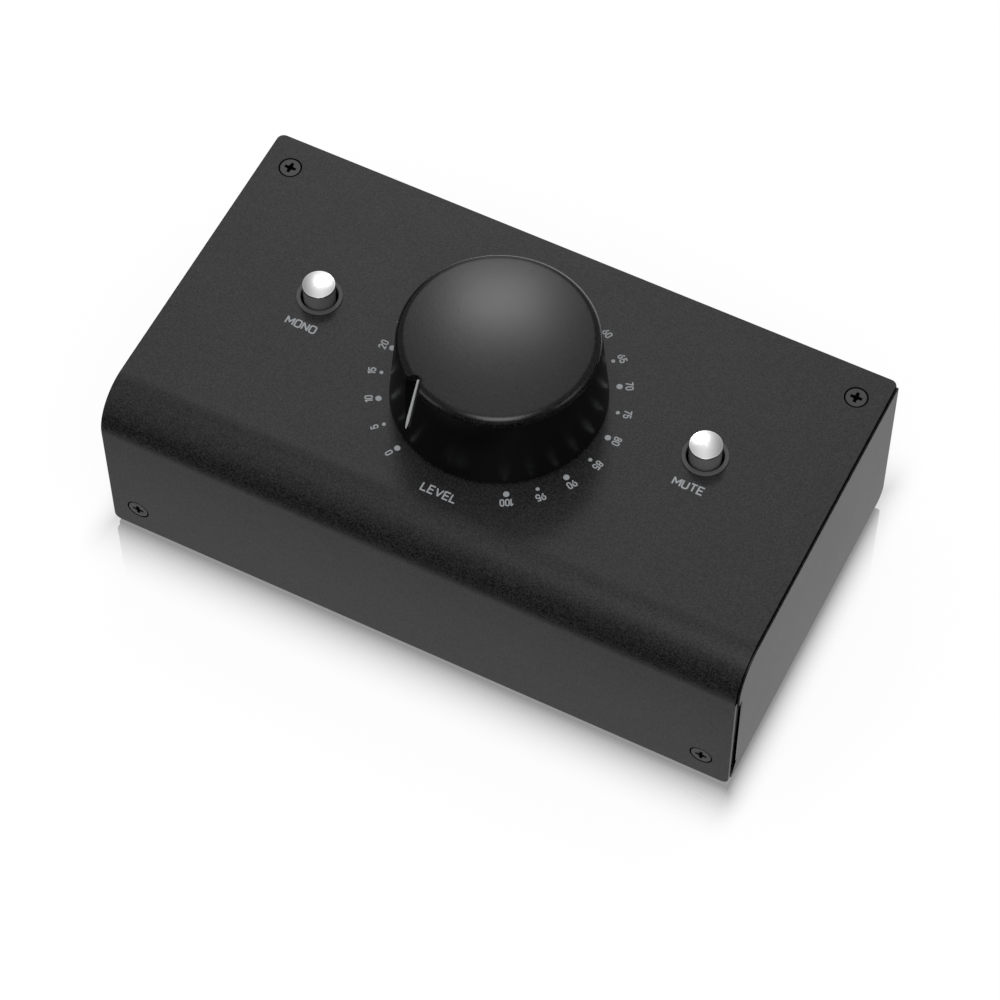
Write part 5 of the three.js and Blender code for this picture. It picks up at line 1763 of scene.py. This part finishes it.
@dataclass(frozen=True)
class SoftLamp:
    """A rectangular soft lamp.

    Attributes:
        name: the lamp's name.
        azimuth: bearing from the object, in degrees to the right of the front.
        elevation: height above the horizon, in degrees.
        distance: distance from the object.
        width: level side of the lamp.
        height: its other side.
        radiance: brightness of its face, where 1 is white.
    """

    TARGET_HEIGHT = 0.03

    name: str
    azimuth: float
    elevation: float
    distance: float
    width: float
    height: float
    radiance: float

    def build(self) -> None:
        """Hangs the lamp and points it at the object: its power is radiance times area times pi."""
        lamp = bpy.data.lights.new(self.name, "AREA")
        lamp.shape, lamp.size, lamp.size_y = "RECTANGLE", self.width, self.height
        lamp.energy = self.radiance * self.width * self.height * math.pi
        holder = bpy.data.objects.new(self.name, lamp)
        bpy.context.scene.collection.objects.link(holder)
        out = heading(self.azimuth, self.elevation)
        holder.location = out * self.distance + Vector((0, 0, self.TARGET_HEIGHT))
        holder.rotation_euler = out.to_track_quat("Z", "Y").to_euler()


@dataclass(frozen=True)
class Studio:
    """Camera, lamps, world and floor.

    Attributes:
        camera_place: where the camera stands.
        azimuth: its bearing, in degrees to the right of the front.
        elevation: how steeply it looks down, in degrees.
        roll: its tilt about its own axis, in degrees.
        lens: focal length for a 36 mm wide picture, in millimetres.
        lamps: the soft lamps.
        strip_bearing: bearing of the upright plane that the long overhead strip lies in, in degrees.
        strip: brightness in reflections in the middle of the strip, and beside it.
        strip_span: distances of a unit direction from that plane between which it fades.
        dimming: factors of that brightness behind, and in front of, the object.
        dimming_span: forward reach of a unit direction between which they change.
        fill: brightness of the sky as a light.
        floor_size: half the floor's side.
        mirror: share of the floor's mirror image at the object's foot.
        fade: height above the floor at which the mirror image is gone.
        fade_power: how steeply it fades.
        slant: distance in front of, and beside, the object at which a unit of height is mirrored.
        floor_light: brightness of the floor to the camera, before the lamps' light.
        floor_colour: the floor's colour to the camera, and to light that bounces off the object.
        glow: brightness of the floor in reflections, beside and behind the object, and in front of it.
        glow_edge: distances in front of the front face between which the two change over.
        glow_span: distances in front of the front face between which that brightness ends.
        glow_reach: distances beside the object between which it ends.
    """

    camera_place: tuple[float, float, float] = (0.232073, -0.456031, 0.810383)
    azimuth: float = 27.0197
    elevation: float = 57.6542
    roll: float = -0.3261
    lens: float = 133.908
    lamps: tuple[SoftLamp, ...] = (
        SoftLamp("rear_softbox", 207.0, 49.8, 2.5, 0.42, 0.44, 7.0),
        SoftLamp("front_softbox", 27.0, 60.0, 2.0, 1.0, 1.2, 3.2),
        SoftLamp("right_softbox", 96.0, 25.0, 2.0, 0.8, 0.5, 1.3),
        SoftLamp("left_softbox", -42.0, 21.0, 2.0, 0.8, 0.8, 1.0),
    )
    strip_bearing: float = 27.0
    strip: tuple[float, float] = (0.85, 0.22)
    strip_span: tuple[float, float] = (0.0, 0.38)
    dimming: tuple[float, float] = (1.0, 0.3)
    dimming_span: tuple[float, float] = (0.1, 0.8)
    fill: float = 0.62
    floor_size: float = 3.0
    mirror: float = 0.71
    fade: float = 0.030
    fade_power: float = 2.4
    slant: tuple[float, float] = (0.288, 0.56)
    floor_light: float = 0.88
    floor_colour: tuple[float, float] = (0.14, 0.8)
    glow: tuple[float, float] = (0.93, 0.62)
    glow_edge: tuple[float, float] = (-0.004, 0.0)
    glow_span: tuple[float, float] = (0.03, 0.046)
    glow_reach: tuple[float, float] = (0.07, 0.11)

    def build(self) -> None:
        """Sets up the studio."""
        self.camera()
        for lamp in self.lamps:
            lamp.build()
        self.world()
        self.floor()
        bpy.context.scene.view_settings.view_transform = "Standard"

    def camera(self) -> None:
        """Places the camera at the photograph's viewing angle."""
        data = bpy.data.cameras.new("camera")
        data.sensor_width, data.lens, data.clip_end = 36.0, self.lens, 10.0
        holder = bpy.data.objects.new("camera", data)
        bpy.context.scene.collection.objects.link(holder)
        back, tilt = heading(self.azimuth, self.elevation), math.radians(self.roll)
        level = (-back).cross(Vector((0, 0, 1))).normalized()
        right = math.cos(tilt) * level + math.sin(tilt) * level.cross(-back)
        pose = Matrix((right, back.cross(right), back)).transposed().to_4x4()
        holder.matrix_world = Matrix.Translation(self.camera_place) @ pose
        bpy.context.scene.camera = holder

    def world(self) -> None:
        """White where the camera sees it, a long bright strip in reflections, even as a light.

        The strip's brightness depends on how far a direction points out of the strip's plane, and
        is multiplied by a factor that depends on how far it points forwards.
        """
        world = bpy.data.worlds.new("studio")
        world.use_nodes = True
        world.cycles.sampling_method = "NONE"
        bpy.context.scene.world = world
        graph = Graph(world.node_tree)
        path, direction = graph.add("LightPath").outputs, graph.add("TexCoord").outputs["Generated"]
        turn = math.radians(self.strip_bearing)
        aside = graph.vector("DOT_PRODUCT", direction, (math.cos(turn), math.sin(turn), 0.0))
        forward = graph.vector("DOT_PRODUCT", direction, (math.sin(turn), -math.cos(turn), 0.0))
        beside = graph.ramp(graph.math("ABSOLUTE", aside), self.strip_span, self.strip)
        mirrored = graph.math("MULTIPLY", beside, graph.ramp(forward, self.dimming_span, self.dimming))
        glossy = graph.math("MULTIPLY", path["Is Glossy Ray"], mirrored)
        plain = graph.math("SUBTRACT", 1.0, path["Is Glossy Ray"])
        light = graph.math("ADD", glossy, graph.math("MULTIPLY", plain, self.fill))
        seen = graph.math("MAXIMUM", path["Is Camera Ray"], path["Is Transmission Ray"])
        strength = graph.math("MAXIMUM", seen, light)
        graph.fill(world.node_tree.nodes["Background"], Strength=strength, Color=(1.0, 1.0, 1.0, 1.0))

    def floor(self) -> None:
        """A pale floor: white to the camera, with a soft shadow and a short mirror image."""
        span = np.linspace(-self.floor_size, self.floor_size, 3)
        x, y = np.meshgrid(span, span)
        floor = assemble("floor", [lattice(np.stack([x, y, np.zeros_like(x)], axis=-1))])
        material = bpy.data.materials.new("floor_white")
        material.use_nodes = True
        material.cycles.emission_sampling = "NONE"
        graph = Graph(material.node_tree)
        path, place = graph.add("LightPath").outputs, graph.place()
        camera, glossy = path["Is Camera Ray"], path["Is Glossy Ray"]
        shown = graph.math("MULTIPLY", camera, self.floor_colour[0])
        lit = graph.math("MULTIPLY", path["Is Diffuse Ray"], self.floor_colour[1])
        white = graph.math("ADD", shown, lit)
        ahead = graph.math("SUBTRACT", CAD_BOX[0].y, graph.add("SeparateXYZ", Vector=place).outputs["Y"])
        near = graph.ramp(ahead, self.glow_span, (1.0, 0.0))
        near = graph.math("MULTIPLY", near, graph.ramp(ahead, self.glow_edge, self.glow))
        aside = graph.ramp(self.distance(graph, place, (1.0, 0.0)), self.glow_reach, (1.0, 0.0))
        reflected = graph.math("MULTIPLY", glossy, graph.math("MULTIPLY", near, aside))
        light = graph.math("ADD", graph.math("MULTIPLY", camera, self.floor_light), reflected)
        matt = graph.fill(
            material.node_tree.nodes["Principled BSDF"],
            Base_Color=graph.add("CombineColor", Red=white, Green=white, Blue=white).outputs[0],
            Roughness=1.0,
            Specular_IOR_Level=0.0,
            Emission_Color=(1.0, 1.0, 1.0, 1.0),
            Emission_Strength=light,
        )
        height = self.distance(graph, place, tuple(1 / value for value in self.slant))
        gone = graph.math("DIVIDE", height, self.fade)
        left = graph.math("MAXIMUM", graph.math("SUBTRACT", 1.0, gone), 0.0)
        share = graph.math("MULTIPLY", graph.math("POWER", left, self.fade_power), self.mirror)
        mirror, mix = graph.add("BsdfGlossy", Roughness=0.0), graph.add("MixShader")
        shares = (graph.math("MULTIPLY", share, camera), matt.outputs[0], mirror.outputs[0])
        for socket, value in zip(mix.inputs, shares):
            graph.put(value, socket)
        graph.fill(material.node_tree.nodes["Material Output"], Surface=mix.outputs[0])
        floor.data.materials.append(material)

    @staticmethod
    def distance(graph: Graph, place: bpy.types.NodeSocket, scale: Sequence[float]) -> bpy.types.NodeSocket:
        """Distance on the floor from the object's footprint, each direction scaled on its own.

        Args:
            graph: the floor's nodes.
            place: position on the floor.
            scale: factors of the distances along x and y.

        Returns:
            The distance: length of what the position exceeds half the footprint by.
        """
        low, high = CAD_BOX
        middle, half, zero = (low + high) / 2, (high - low) / 2, (0.0, 0.0, 0.0)
        from_middle = graph.vector("ABSOLUTE", graph.vector("SUBTRACT", place, (middle.x, middle.y, 0.0)))
        beyond = graph.vector("MAXIMUM", graph.vector("SUBTRACT", from_middle, (half.x, half.y, 0.0)), zero)
        return graph.vector("LENGTH", graph.vector("MULTIPLY", beyond, (*scale, 0.0)))


def main() -> None:
    """Builds the looks in order."""
    logging.basicConfig(level=logging.INFO, format="%(name)s: %(message)s")
    Studio().build()
    palette = Palette(Effects())
    rear = RearPanel()
    Cover().build(palette)
    Chassis().build(palette, rear.openings())
    buttons = (PushButton("mono"), PushButton("mute"))
    for part in (CoverScrews(), VolumeKnob(), *buttons, Foot(), Dial(), rear, Inside()):
        part.build(palette)


if __name__ == "__main__":
    main()
